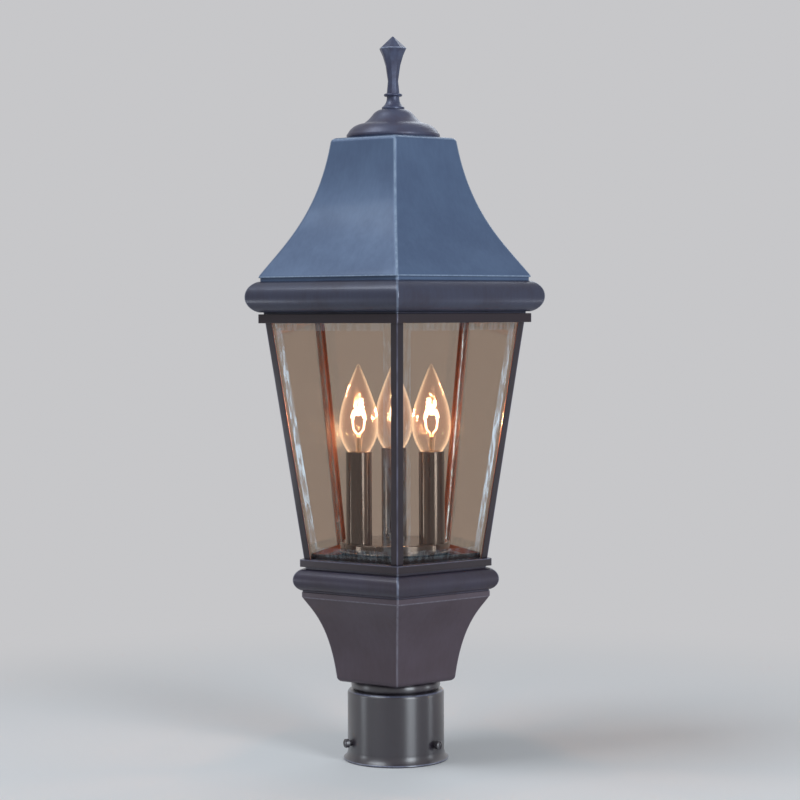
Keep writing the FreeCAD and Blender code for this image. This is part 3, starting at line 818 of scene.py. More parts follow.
@dataclass
class Piece:
    """One visible piece, modelled with operators and then dressed."""

    object: bpy.types.Object

    MITRE_ANGLE = math.radians(12)
    MITRE_SEGMENTS = 4
    INWARD = -0.4

    @classmethod
    def named(cls, name: str) -> Piece:
        """Takes the active object as a piece and names it.

        Args:
            name: The name.

        Returns:
            The piece.
        """
        piece = cls(bpy.context.object)
        piece.object.name = piece.object.data.name = name
        return piece

    @classmethod
    def drawn(cls, name: str, points: Sequence[Vector]) -> Piece:
        """Draws a chain of edges by extruding one vertex from point to point.

        Args:
            name: The piece's name.
            points: The chain in millimetres.

        Returns:
            The piece, in edit mode.
        """
        bpy.ops.object.select_all(action="DESELECT")
        bpy.ops.mesh.primitive_plane_add(size=MM, location=points[0] * MM)
        piece = cls.named(name)
        settle()
        mode("EDIT")
        bpy.context.tool_settings.mesh_select_mode = (True, False, False)
        bpy.ops.mesh.select_all(action="SELECT")
        bpy.ops.mesh.merge(type="CENTER")
        for start, end in zip(points, points[1:]):
            bpy.ops.mesh.extrude_region_move(TRANSFORM_OT_translate={"value": (end - start) * MM})
        return piece

    @classmethod
    def lathed(
        cls, name: str, section: Section, sides: int = ROUND_STEPS, axis: Vector = ORIGIN, turn: float = FRONT
    ) -> Piece:
        """Spins a section about an upright axis.

        Args:
            name: The piece's name.
            section: The section. Its distances out are to a flat where there are few sides.
            sides: How many sides the piece has.
            axis: A point on the axis.
            turn: The direction of one of its corners.

        Returns:
            The piece, in edit mode.
        """
        stretch = CORNER_STRETCH if sides == SIDES else 1.0
        points = [polar(out * stretch, turn, height) + axis for out, height in section.points]
        piece = cls.drawn(name, points)
        bpy.ops.mesh.select_all(action="SELECT")
        bpy.ops.mesh.spin(steps=sides, angle=math.tau, center=axis * MM, axis=(0, 0, 1))
        piece.tidy()
        return piece

    def tidy(self) -> None:
        """Merges what coincides and points every face outwards."""
        bpy.ops.mesh.select_all(action="SELECT")
        bpy.ops.mesh.remove_doubles(threshold=DOUBLES)
        bpy.ops.mesh.normals_make_consistent(inside=False)

    def thicken(self, pull: Vector) -> None:
        """Fills the closed outline that was drawn and pulls it out into a solid.

        Args:
            pull: The way and distance in millimetres.
        """
        self.tidy()
        bpy.ops.mesh.edge_face_add()
        bpy.ops.mesh.extrude_region_move(TRANSFORM_OT_translate={"value": pull * MM})
        self.tidy()

    def pick(self, kind: Kind, test: Callable[[bmesh.types.BMEdge | bmesh.types.BMFace], bool]) -> None:
        """Selects the edges or faces that pass a test, and nothing else.

        Args:
            kind: Which of the two.
            test: The test.
        """
        bpy.ops.mesh.select_all(action="DESELECT")
        bpy.context.tool_settings.mesh_select_mode = (False, kind is Kind.EDGES, kind is Kind.FACES)
        mesh = bmesh.from_edit_mesh(self.object.data)
        mesh.normal_update()
        for item in getattr(mesh, kind.value):
            if test(item):
                item.select_set(True)
        bmesh.update_edit_mesh(self.object.data)

    @classmethod
    def on_mitre(cls, edge: bmesh.types.BMEdge) -> bool:
        """Whether an edge lies in a corner's upright plane and turns outwards.

        Args:
            edge: The edge.

        Returns:
            Whether it does.
        """
        first, second = (vertex.co for vertex in edge.verts)
        if min(first.xy.length, second.xy.length) < MM or not edge.is_manifold:
            return False
        turned = abs(first.xy.angle_signed(second.xy))
        outwards = sum((face.normal for face in edge.link_faces), Vector()).dot(first.xy.to_3d())
        return turned < math.radians(0.5) and edge.calc_face_angle() > cls.MITRE_ANGLE and outwards > 0

    def round_mitres(self, width: float) -> None:
        """Rounds the outer edges where the five sides meet, by a width in millimetres."""
        self.pick(Kind.EDGES, self.on_mitre)
        bpy.ops.mesh.bevel(offset=width * MM, segments=self.MITRE_SEGMENTS, profile=0.5, affect="EDGES")

    def modify(self, kind: str, **settings: object) -> None:
        """Leaves edit mode, adds a modifier and applies it.

        Args:
            kind: The modifier's type.
            **settings: Its properties.
        """
        mode("OBJECT")
        modifier = self.object.modifiers.new(kind.lower(), kind)
        for key, value in settings.items():
            setattr(modifier, key, value)
        bpy.ops.object.modifier_apply(modifier=modifier.name)

    def ease_edges(self, width: float, segments: int = 2, limit: float = CRISP) -> None:
        """Bevels edges sharper than a limit in degrees, by a width in millimetres and in so many faces."""
        shape = {"width": width * MM, "segments": segments, "use_clamp_overlap": True}
        self.modify("BEVEL", limit_method="ANGLE", angle_limit=math.radians(limit), **shape)

    def activate(self) -> None:
        """Leaves edit mode and makes this the only selected object."""
        mode("OBJECT")
        select_only(self.object)

    def cut(self, cutter: Piece) -> None:
        """Cuts another piece out of this one.

        Args:
            cutter: The other piece, which is thrown away.
        """
        self.activate()
        self.modify("BOOLEAN", operation="DIFFERENCE", object=cutter.object, solver="EXACT")
        bpy.data.objects.remove(cutter.object)

    def smooth(self, limit: float = CRISP) -> None:
        """Leaves edit mode and shades the piece smooth.

        Args:
            limit: The sharpest angle in degrees that is smoothed.
        """
        self.activate()
        bpy.ops.object.shade_smooth_by_angle(angle=math.radians(limit))
        self.modify("WEIGHTED_NORMAL", keep_sharp=True)

    def turned_copy(self, name: str, angle: float) -> Piece:
        """Copies the piece with its own mesh, turned about the lantern's axis.

        Args:
            name: The copy's name.
            angle: The turn in radians.

        Returns:
            The copy.
        """
        self.activate()
        bpy.ops.object.duplicate()
        copy = Piece.named(name)
        copy.object.matrix_world = Matrix.Rotation(angle, 4, "Z")
        settle()
        return copy

    def lay_down(self, angle: float, height: float) -> None:
        """Turns a piece drawn upright on the axis to lie outwards.

        Args:
            angle: The direction that its top points to.
            height: The height of its own axis in millimetres.
        """
        self.activate()
        lie = Matrix.Rotation(angle, 4, "Z") @ Matrix.Rotation(math.pi / 2, 4, "Y")
        self.object.matrix_world = Matrix.Translation((0, 0, height * MM)) @ lie
        settle()

    def join(self, other: Piece) -> None:
        """Joins another finished piece into this one."""
        select_only(self.object, other.object)
        bpy.ops.object.join()

    def paint_lamplight_inside(self, outside: Finish, inside: Finish) -> None:
        """Gives the faces that look towards the lantern's axis a finish of their own, a painted copper glow
        of the lamps' light.

        Args:
            outside: The finish of all the others.
            inside: The finish of those faces, painted lamplight.
        """
        mesh = self.object.data
        for finish in (outside, inside):
            mesh.materials.append(finish.material())
        for face in mesh.polygons:
            out = face.center.xy.normalized()
            face.material_index = int(face.normal.xy.dot(out) < self.INWARD)

    def dress(self, finish: Finish, body: str, *nodes: str) -> None:
        """Gives the piece its finish and its body, and hides the CAD nodes that it stands for.

        Args:
            finish: The finish.
            body: The body that it rides on.
            *nodes: The CAD nodes that it replaces.
        """
        if not self.object.data.materials:
            self.object.data.materials.append(finish.material())
        finish.slot
        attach(self.object, body)
        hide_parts(*nodes)
        LOG.info("%s on %s, %d faces", self.object.name, body, len(self.object.data.polygons))


def five_sided(name: str, section: Section, mitre: float, ease: float = 0.35) -> Piece:
    """Makes a mitred five-sided ring with rounded corners.

    Args:
        name: The piece's name.
        section: Its closed section, with distances out to the flats.
        mitre: The width of the rounding along the mitres, in millimetres.
        ease: The width of the rounding along its other crisp edges.

    Returns:
        The piece, shaded.
    """
    piece = Piece.lathed(name, section, SIDES)
    piece.round_mitres(mitre)
    piece.ease_edges(ease)
    piece.smooth()
    return piece


def round_piece(name: str, section: Section, steps: int = ROUND_STEPS, axis: Vector = ORIGIN) -> Piece:
    """Makes a turned piece with eased edges.

    Args:
        name: The piece's name.
        section: Its section.
        steps: How many sides stand for the circle.
        axis: A point on its axis.

    Returns:
        The piece, shaded.
    """
    piece = Piece.lathed(name, section, steps, axis)
    piece.ease_edges(0.25)
    piece.smooth()
    return piece


# --------------------------------------------------------------- sub-assemblies


@dataclass
class Collar:
    """The round collar that slips over the post, with its rolled lip, and the ring above it."""

    wall: float = 2.6
    top: float = 3.0
    shoulder: float = 3.0
    lip_out: float = 3.6
    lip_height: float = 10.0
    lip_nose: float = 1.1
    lip_tuck: float = 0.7
    lip_bow: float = 0.99
    lip_hollow: float = 1.15
    stem: float = 5.0
    ring_roll: float = 2.4
    screw_hole: float = 2.7
    drill_start: float = 2.0

    def build(self) -> None:
        """Builds the collar and the ring."""
        box = Extent.of("post_collar")
        lip = box.radius
        outer = lip - self.lip_out
        bore = outer - self.wall
        height = box.high.z
        section = Section([(bore, 0), (lip - self.lip_nose, 0)])
        section.arc(lip - self.lip_tuck, 2 * self.lip_nose, self.lip_bow)
        section.arc(outer, self.lip_height, -self.lip_hollow, 8)
        section.walk((outer, height - self.shoulder))
        section.arc(outer - self.shoulder, height, self.shoulder * QUARTER_BOW)
        section.walk((self.stem, height), (self.stem, height - self.top), (bore, height - self.top)).closed()
        collar = Piece.lathed("collar_shell", section)
        collar.ease_edges(0.3)
        for index in range(SCREWS):
            collar.cut(self.hole(screw_angle(index), bore))
        collar.smooth()
        collar.dress(Finish.COLLAR, "lantern", "post_collar")
        self.build_ring(box.high.z)

    def hole(self, angle: float, bore: float) -> Piece:
        """A round bar where a set screw passes through the wall.

        Args:
            angle: The screw's direction.
            bore: The collar's bore radius.

        Returns:
            The bar, which lies along the screw.
        """
        start = bore - self.drill_start
        end = start + 3 * self.wall + self.drill_start
        section = Section([(0, start), (self.screw_hole, start), (self.screw_hole, end), (0, end)])
        bar = Piece.lathed("screw_hole", section, 32)
        bar.lay_down(angle, SCREW_HEIGHT)
        return bar

    def build_ring(self, low: float) -> None:
        """Builds the rolled ring between the collar and the base.

        Args:
            low: The height of the collar's top.
        """
        high = Extent.of("base_body").low.z
        root = Extent.of("neck_ring").radius - self.ring_roll
        section = Section([(STEM_HOLE, low), (root, low)]).arc(root, high, self.ring_roll, 14)
        section.walk((STEM_HOLE, high)).closed()
        round_piece("neck_ring_roll", section).dress(Finish.COLLAR, "lantern", "neck_ring")


@dataclass
class SetScrews:
    """The three slotted screws that clamp the collar to the post."""

    shank: float = 2.4
    point_share: float = 0.55
    point_length: float = 1.2
    head: float = 3.7
    head_height: float = 4.6
    crown: float = 1.4
    crown_bow: float = 0.35
    slot_width: float = 1.0
    slot_depth: float = 1.5
    post_radius: float = 38.6
    neck: float = 2.2
    collar_radius: float = 41.1

    def build(self) -> None:
        """Builds the screws."""
        under = self.collar_radius + self.neck
        end = under + self.head_height
        tip = self.post_radius
        for index in range(SCREWS):
            section = Section([(0, tip), (self.shank * self.point_share, tip)])
            section.walk((self.shank, tip + self.point_length), (self.shank, under))
            section.walk((self.head, under), (self.head, end - self.crown))
            section.arc(0, end, self.crown_bow, 5)
            node = "set_screw_%d" % (index + 1)
            screw = Piece.lathed("clamp_screw_%d" % (index + 1), section, 40)
            screw.ease_edges(0.2)
            screw.cut(self.slot(end))
            screw.smooth()
            screw.lay_down(screw_angle(index), SCREW_HEIGHT)
            screw.dress(Finish.COLLAR, node, node)

    def slot(self, end: float) -> Piece:
        """The bar that cuts the driver slot.

        Args:
            end: The distance from the axis to the head's crown.

        Returns:
            The bar.
        """
        half = self.slot_width / 2
        wide = self.head + 1
        corners = [(-wide, -half), (wide, -half), (wide, half), (-wide, half), (-wide, -half)]
        bar = Piece.drawn("slot_bar", [Vector((x, y, end - self.slot_depth)) for x, y in corners])
        bar.thicken(Vector((0, 0, 2 * self.slot_depth)))
        mode("OBJECT")
        return bar


@dataclass
class Base:
    """The flared base and the half-round moulding on it."""

    sheet: float = 2.2
    band_height: float = 4.3
    band_step: float = 0.4
    foot_flat: float = 43.0
    foot_round: float = 4.5
    flare: tuple[Point, Point] = ((0.735, 0.16), (0.228, 0.33))
    flare_steps: int = 18
    floor: float = 2.4
    rim_in: float = 7.5
    rim_height: float = 2.2
    moulding_out: float = 5.7
    moulding_root: float = 0.4
    moulding_step: float = 1.5
    moulding_height: float = 17.5
    spigot_gap: float = 0.3
    spigot_wall: float = 2.5
    seat_in: float = 1.3

    def build(self) -> None:
        """Builds the base and its moulding."""
        box = Extent.of("base_body")
        band = box.flat
        low, high = box.low.z, box.high.z
        inner = band - self.band_step - self.sheet
        reach = band - self.band_step - self.foot_flat
        z_band = high - self.band_height
        z_flare = z_band - self.band_step
        z_foot = low + self.foot_round
        z_rim = high - self.rim_height
        floor_edge = self.foot_flat - self.foot_round
        section = Section([(STEM_HOLE, low), (floor_edge, low)])
        section.arc(self.foot_flat, z_foot, self.foot_round * QUARTER_BOW)
        section.curve(hollow(z_flare, (self.foot_flat, z_foot), reach, self.flare)[::-1], self.flare_steps)
        section.walk((band, z_band), (band, high), (band - self.rim_in, high), (band - self.rim_in, z_rim))
        section.walk((inner, z_rim), (inner, z_flare))
        inside = (self.foot_flat - self.sheet, z_foot)
        section.curve(hollow(z_flare, inside, reach, self.flare), self.flare_steps)
        section.walk((floor_edge, low + self.floor), (STEM_HOLE, low + self.floor)).closed()
        five_sided("flared_base", section, 1.4).dress(Finish.BASE, "lantern", "base_body")
        self.build_moulding(band - self.band_step, high)

    def build_moulding(self, neck: float, foot: float) -> None:
        """Builds the half-round moulding.

        Args:
            neck: The flat distance of the moulding's narrow foot.
            foot: The height of the base's top, on which it stands.
        """
        sill = Extent.of("cage_bottom_frame").flat
        root = sill - self.moulding_root
        top = Extent.of("base_moulding").high.z
        low = foot + self.moulding_step
        high = low + self.moulding_height
        seat = sill - self.sheet - self.spigot_gap - self.seat_in
        inner = seat - self.spigot_wall
        section = Section([(inner, foot), (neck, foot), (neck, low), (root, low)])
        section.arc(root, high, self.moulding_out, 16)
        section.walk((seat, high), (seat, top), (inner, top)).closed()
        five_sided("base_half_round", section, 1.6, 0.3).dress(Finish.BASE_TRIM, "lantern", "base_moulding")


@dataclass
class Cage:
    """The glazed cage: its two frames, five corner posts and five bevelled panes."""

    sheet: float = 2.2
    plate: float = 2.4
    foot_flat: float = 65.5
    head_flat: float = 92.3
    leg: float = 6.4
    leg_wall: float = 1.4
    glass: float = 3.0
    glass_gap: float = 0.2
    glass_bevel: float = 11.0
    bevel_depth: float = 0.9
    arris: float = 0.35
    facing: float = 0.9
    level: float = 0.99995
    corner_gap: float = 0.5
    head_gap: float = 0.3
    stop: float = 1.2
    stop_height: float = 4.5
    bottom_rail: float = 14.5
    top_rail: float = 18.8
    z_foot: float = 0.0
    z_head: float = 0.0

    def __post_init__(self) -> None:
        """Reads the cage's heights from the frame."""
        box = Extent.of("corner_post_1")
        self.z_foot, self.z_head = box.low.z, box.high.z

    def glass_back(self, height: float) -> float:
        """The distance to the back of the glass.

        Args:
            height: The height in millimetres.

        Returns:
            The distance in millimetres.
        """
        share = (height - self.z_foot) / (self.z_head - self.z_foot)
        face = self.foot_flat + (self.head_flat - self.foot_flat) * share
        return face - self.leg_wall - self.glass_gap - self.glass

    def build(self) -> None:
        """Builds the cage."""
        self.build_bottom_frame()
        self.build_top_frame()
        self.build_posts()
        self.build_panes()

    def build_bottom_frame(self) -> None:
        """Builds the frame that the posts stand on."""
        box = Extent.of("cage_bottom_frame")
        flat, low, foot = box.flat, box.low.z, self.z_foot
        stop = self.glass_back(foot) - self.glass_gap
        stop_high = foot + self.stop_height
        opening = flat - self.bottom_rail
        skirt = flat - self.sheet
        under = foot - self.plate
        section = Section([(skirt, low), (flat, low), (flat, foot), (stop, foot), (stop, stop_high)])
        section.walk((stop - self.stop, stop_high), (stop - self.stop, foot), (opening, foot))
        section.walk((opening, under), (skirt, under))
        self.build_frame("cage_sill", section, 1.2, "cage_bottom_frame")

    def build_top_frame(self) -> None:
        """Builds the frame that the roof sits on."""
        box = Extent.of("cage_top_frame")
        flat, low, high, head = box.flat, box.low.z, box.high.z, self.z_head
        stop_low = head - self.stop_height
        stop = self.glass_back(stop_low) - self.glass_gap
        opening = flat - self.top_rail
        skirt = flat - self.sheet
        section = Section([(skirt, low), (flat, low), (flat, high), (opening, high), (opening, head)])
        section.walk((stop - self.stop, head), (stop - self.stop, stop_low), (stop, stop_low), (stop, head))
        section.walk((skirt, head))
        self.build_frame("cage_head", section, 1.0, "cage_top_frame")

    @staticmethod
    def build_frame(name: str, section: Section, mitre: float, node: str) -> None:
        """Builds one of the two frames.

        Args:
            name: The piece's name.
            section: Its section, not yet closed.
            mitre: The width of the rounding along the mitres, in millimetres.
            node: The CAD node that it replaces.
        """
        frame = five_sided(name, section.closed(), mitre, 0.4)
        # painted light: the inner faces take the copper colour of the lamps' light
        frame.paint_lamplight_inside(Finish.FRAME, Finish.INSIDE)
        frame.dress(Finish.FRAME, "lantern", node)

    def build_posts(self) -> None:
        """Builds the angle-bar posts, one drawn in front and the others copied from it."""
        foot = self.foot_flat * CORNER_STRETCH
        head = self.head_flat * CORNER_STRETCH
        edge = polar(foot, FRONT, self.z_foot)
        along = [polar(1, FRONT + side * (math.pi / 2 + STEP / 2), 0) for side in (1, -1)]
        normal = [polar(1, FRONT + side * STEP / 2, 0) for side in (1, -1)]
        inner = polar(foot - self.leg_wall * CORNER_STRETCH, FRONT, self.z_foot)
        tips = [edge + along[side] * self.leg for side in (0, 1)]
        backs = [tips[side] - normal[side] * self.leg_wall for side in (0, 1)]
        post = Piece.drawn("post_bar_1", [edge, tips[0], backs[0], inner, backs[1], tips[1], edge])
        post.thicken(polar(head - foot, FRONT, self.z_head - self.z_foot))
        post.ease_edges(0.45, 3, 30)
        post.smooth()
        # painted light: the inner faces take the copper colour of the lamps' light
        post.paint_lamplight_inside(Finish.FRAME, Finish.INSIDE)
        for number in range(2, SIDES + 1):
            copy = post.turned_copy("post_bar_%d" % number, STEP * (number - 1))
            copy.dress(Finish.FRAME, "lantern", "corner_post_%d" % number)
        post.dress(Finish.FRAME, "lantern", "corner_post_1")

    def build_panes(self) -> None:
        """Builds the panes, one drawn facing +X and turned to each side."""
        corners = []
        for height, turns in ((self.z_foot, (-1, 1)), (self.z_head - self.head_gap, (1, -1))):
            wide = self.glass_back(height) * math.tan(STEP / 2) - self.corner_gap
            corners += [Vector((self.glass_back(height), turn * wide, height)) for turn in turns]
        pane = Piece.drawn("pane", corners + corners[:1])
        pane.thicken(Vector((self.glass - self.bevel_depth, 0, 0)))
        pane.pick(Kind.FACES, lambda face: face.normal.x > self.facing)
        bpy.ops.mesh.inset(thickness=self.glass_bevel * MM, depth=self.bevel_depth * MM)
        pane.pick(Kind.EDGES, lambda edge: edge.calc_face_angle(0) > math.radians(60))
        bpy.ops.mesh.bevel(offset=self.arris * MM, segments=2, affect="EDGES")
        mode("OBJECT")
        self.glaze(pane)
        for number in range(1, SIDES + 1):
            copy = pane.turned_copy("bevelled_pane_%d" % number, side_angle(number - 1))
            copy.dress(Finish.PANE, "lantern", "glass_pane_%d" % number)
        bpy.data.objects.remove(pane.object)

    def glaze(self, pane: Piece) -> None:
        """Gives the flat glass, its bevels and its ground edges their finishes.

        Args:
            pane: The pane that faces +X.
        """
        mesh = pane.object.data
        for finish in (Finish.PANE, Finish.PANE_BEVEL, Finish.PANE_EDGE):
            mesh.materials.append(finish.material())
        front = max(mesh.polygons, key=lambda face: face.area * face.normal.x).normal
        for face in mesh.polygons:
            share = abs(face.normal.dot(front))
            face.material_index = int(share < self.level) + int(share < self.facing)


@dataclass
class Roof:
    """The bell roof and its half-round moulding."""

    sheet: float = 2.2
    moulding_out: float = 9.7
    shadow: float = 1.2
    shadow_depth: float = 3.6
    groove_height: float = 3.0
    groove_depth: float = 1.2
    skirt_round: float = 0.8
    skirt_fall: float = 0.9
    top_flat: float = 45.6
    top_round: float = 4.5
    bell: tuple[Point, Point] = ((0.662, 0.227), (0.19, 0.455))
    bell_steps: int = 24
    flange_flat: float = 87.6
    wall_root: float = 1.8
    ledge: float = 2.2
    rod_hole: float = 3.3

    def build(self) -> None:
        """Builds the moulding and the bell."""
        self.build_moulding()
        self.build_bell()

    def build_moulding(self) -> None:
        """Builds the half-round moulding under the bell."""
        box = Extent.of("roof_moulding")
        flat = Extent.of("roof_shell").flat
        foot = Extent.of("cage_top_frame").high.z + TOUCH
        low = box.low.z + self.shadow
        high = box.high.z
        inner = flat - self.wall_root
        shadow = flat - self.shadow_depth
        seat = flat - self.groove_depth - self.sheet - self.ledge
        section = Section([(self.flange_flat, foot), (shadow, foot), (shadow, low), (flat, low)])
        section.arc(flat, high, self.moulding_out, 20)
        section.walk((seat, high), (seat, high - self.sheet), (inner, high - self.sheet))
        section.arc(inner, low + self.sheet, -(self.moulding_out - self.sheet + self.wall_root), 10)
        section.walk((self.flange_flat, low + self.sheet)).closed()
        five_sided("roof_half_round", section, 1.8, 0.3).dress(Finish.ROOF_TRIM, "roof", "roof_moulding")

    def build_bell(self) -> None:
        """Builds the bell."""
        box = Extent.of("roof_shell")
        flat, low, high = box.flat, box.low.z, box.high.z
        groove = flat - self.groove_depth
        z_skirt = low + self.groove_height
        z_bell = z_skirt + 2 * self.skirt_round + self.skirt_fall
        z_shoulder = high - self.top_round
        reach = flat - self.skirt_round - self.top_flat
        top_edge = self.top_flat - self.top_round
        ceiling = high - self.sheet
        section = Section([(groove - self.sheet, low), (groove, low), (groove, z_skirt), (flat, z_skirt)])
        section.walk((flat, z_skirt + self.skirt_round), (flat - self.skirt_round, z_bell))
        section.curve(hollow(z_bell, (self.top_flat, z_shoulder), reach, self.bell), self.bell_steps)
        section.arc(top_edge, high, self.top_round * QUARTER_BOW, 8)
        section.walk((self.rod_hole, high), (self.rod_hole, ceiling), (top_edge, ceiling))
        inside = (self.top_flat - self.sheet, z_shoulder)
        section.walk(inside).curve(hollow(z_bell, inside, reach, self.bell)[::-1], self.bell_steps).closed()
        five_sided("bell_roof", section, 2.4).dress(Finish.ROOF, "roof", "roof_shell")


@dataclass
class Cap:
    """The turned cap between the roof and the finial."""

    bead: float = 0.9
    bead_height: float = 5.0
    bead_bow: float = 1.5
    radius: float = 38.4
    rim: Point = (27.4, 12.8)
    rim_bow: float = 1.6
    step_in: float = 2.2
    crease: float = 0.4
    shoulder: Point = (17.4, 20.6)
    shoulder_hollow: float = 0.45
    crown: float = 11.8
    crown_bow: float = 0.5
    seat: float = 8.2
    seat_gap: float = 0.3
    hole: float = 3.3

    def build(self) -> None:
        """Builds the cap."""
        low = Extent.of("roof_shell").high.z
        high = Extent.of("finial").low.z - self.seat_gap
        section = Section([(self.hole, low), (self.radius - self.bead, low)])
        section.arc(self.radius, low + self.bead_height, self.bead_bow, 8)
        section.arc(self.rim[0], low + self.rim[1], self.rim_bow, 10)
        section.walk((self.rim[0] - self.step_in, low + self.rim[1] + self.crease))
        section.arc(self.shoulder[0], low + self.shoulder[1], -self.shoulder_hollow, 8)
        section.arc(self.crown, high - self.crease, self.crown_bow, 8)
        section.walk((self.seat, high), (self.hole, high)).closed()
        round_piece("turned_cap", section).dress(Finish.CAP, "roof", "cap_dome")


@dataclass
class Finial:
    """The faceted finial on its round foot."""

    sides: int = 8
    turn: float = -14.5
    foot: float = 9.6
    foot_edge: float = 1.4
    neck: Point = (5.3, 9.2)
    neck_hollow: float = 1.1
    ring: Point = (7.8, 11.7)
    ring_height: float = 2.4
    overlap: float = 0.4
    root_share: float = 1.25
    waist: Point = (4.5, 23.5)
    head: Point = (11.8, 50.9)
    swell: tuple[Point, Point] = ((0.26, 0.47), (0.60, 0.77))
    tip: float = 0.7
    tip_fall: float = 0.3
    rod_hole: float = 3.3
    crisp: float = 24.0

    def build(self) -> None:
        """Builds the finial."""
        box = Extent.of("finial")
        foot = self.build_foot(box.low.z, Extent.of("cap_dome").high.z + TOUCH)
        head = self.build_head(box.low.z, box.high.z)
        head.join(foot)
        head.dress(Finish.FINIAL, "finial", "finial")

    def build_foot(self, low: float, seat: float) -> Piece:
        """Turns the foot and its ring.

        Args:
            low: The height of the foot.
            seat: The height of the cap that it sits on.

        Returns:
            The piece.
        """
        half = self.ring_height / 2
        root = self.ring[0] - half
        section = Section([(self.rod_hole, seat), (self.foot, seat), (self.foot, low + self.foot_edge)])
        section.arc(self.neck[0], low + self.neck[1], -self.neck_hollow, 10)
        section.walk((self.neck[0], low + (self.ring[1] - half)), (root, low + (self.ring[1] - half)))
        section.arc(root, low + (self.ring[1] + half), half, 8)
        section.walk((self.rod_hole, low + (self.ring[1] + half))).closed()
        return round_piece("finial_foot", section, 48)

    def build_head(self, low: float, high: float) -> Piece:
        """Makes the octagonal spindle and its pyramid.

        Args:
            low: The height of the finial's foot.
            high: The height of its tip.

        Returns:
            The piece.
        """
        start = low + (self.ring[1] + self.ring_height / 2 - self.overlap)
        waist, waist_height = self.waist
        swell = self.head[0] - waist
        climb = self.head[1] - waist_height
        section = Section([(0, start), (waist * self.root_share, start), (waist, low + waist_height)])
        section.walk(*((waist + swell * out, low + waist_height + climb * up) for out, up in self.swell))
        section.walk((self.head[0], low + self.head[1]), (self.tip, high - self.tip_fall), (0, high))
        head = Piece.lathed("faceted_finial", section, self.sides, turn=FRONT + math.radians(self.turn))
        head.ease_edges(0.3, 2, self.crisp)
        head.smooth(self.crisp)
        return head


@dataclass
class Candles:
    """The round pan and the three candle sleeves on it."""

    sheet: float = 1.6
    round_over: float = 1.5
    bead: float = 1.0
    sleeve_wall: float = 0.9
    sleeve_roll: float = 0.45
    roll_drop: float = 0.5

    def build(self) -> None:
        """Builds the pan and the sleeves."""
        self.build_pan()
        for number in range(1, LAMPS + 1):
            self.build_sleeve(number)

    def build_pan(self) -> None:
        """Builds the pan with its turned-down skirt."""
        box = Extent.of("candle_pan")
        low, high = box.low.z, box.high.z
        rim = box.radius - self.bead
        inner = rim - self.sheet
        under = high - self.sheet
        section = Section([(STEM_HOLE, under), (inner, under), (inner, low), (rim, low)])
        section.arc(rim, low + 2 * self.bead, self.bead, 8)
        section.walk((rim, high - self.round_over))
        section.arc(rim - self.round_over, high, self.round_over * QUARTER_BOW, 5)
        section.walk((STEM_HOLE, high)).closed()
        round_piece("candle_tray", section).dress(Finish.CANDLE, "lantern", "candle_pan")

    def build_sleeve(self, number: int) -> None:
        """Builds one sleeve with a rolled top edge.

        Args:
            number: Which sleeve.
        """
        box = Extent.of("candle_sleeve_%d" % number)
        outer = box.radius
        bore = outer - self.sleeve_wall
        rim = box.high.z - self.roll_drop
        section = Section([(bore, box.low.z), (outer, box.low.z), (outer, rim)])
        section.arc(bore, rim, self.sleeve_roll).closed()
        sleeve = round_piece("candle_tube_%d" % number, section, 64, box.axis)
        sleeve.dress(Finish.CANDLE, "lantern", "candle_sleeve_%d" % number)


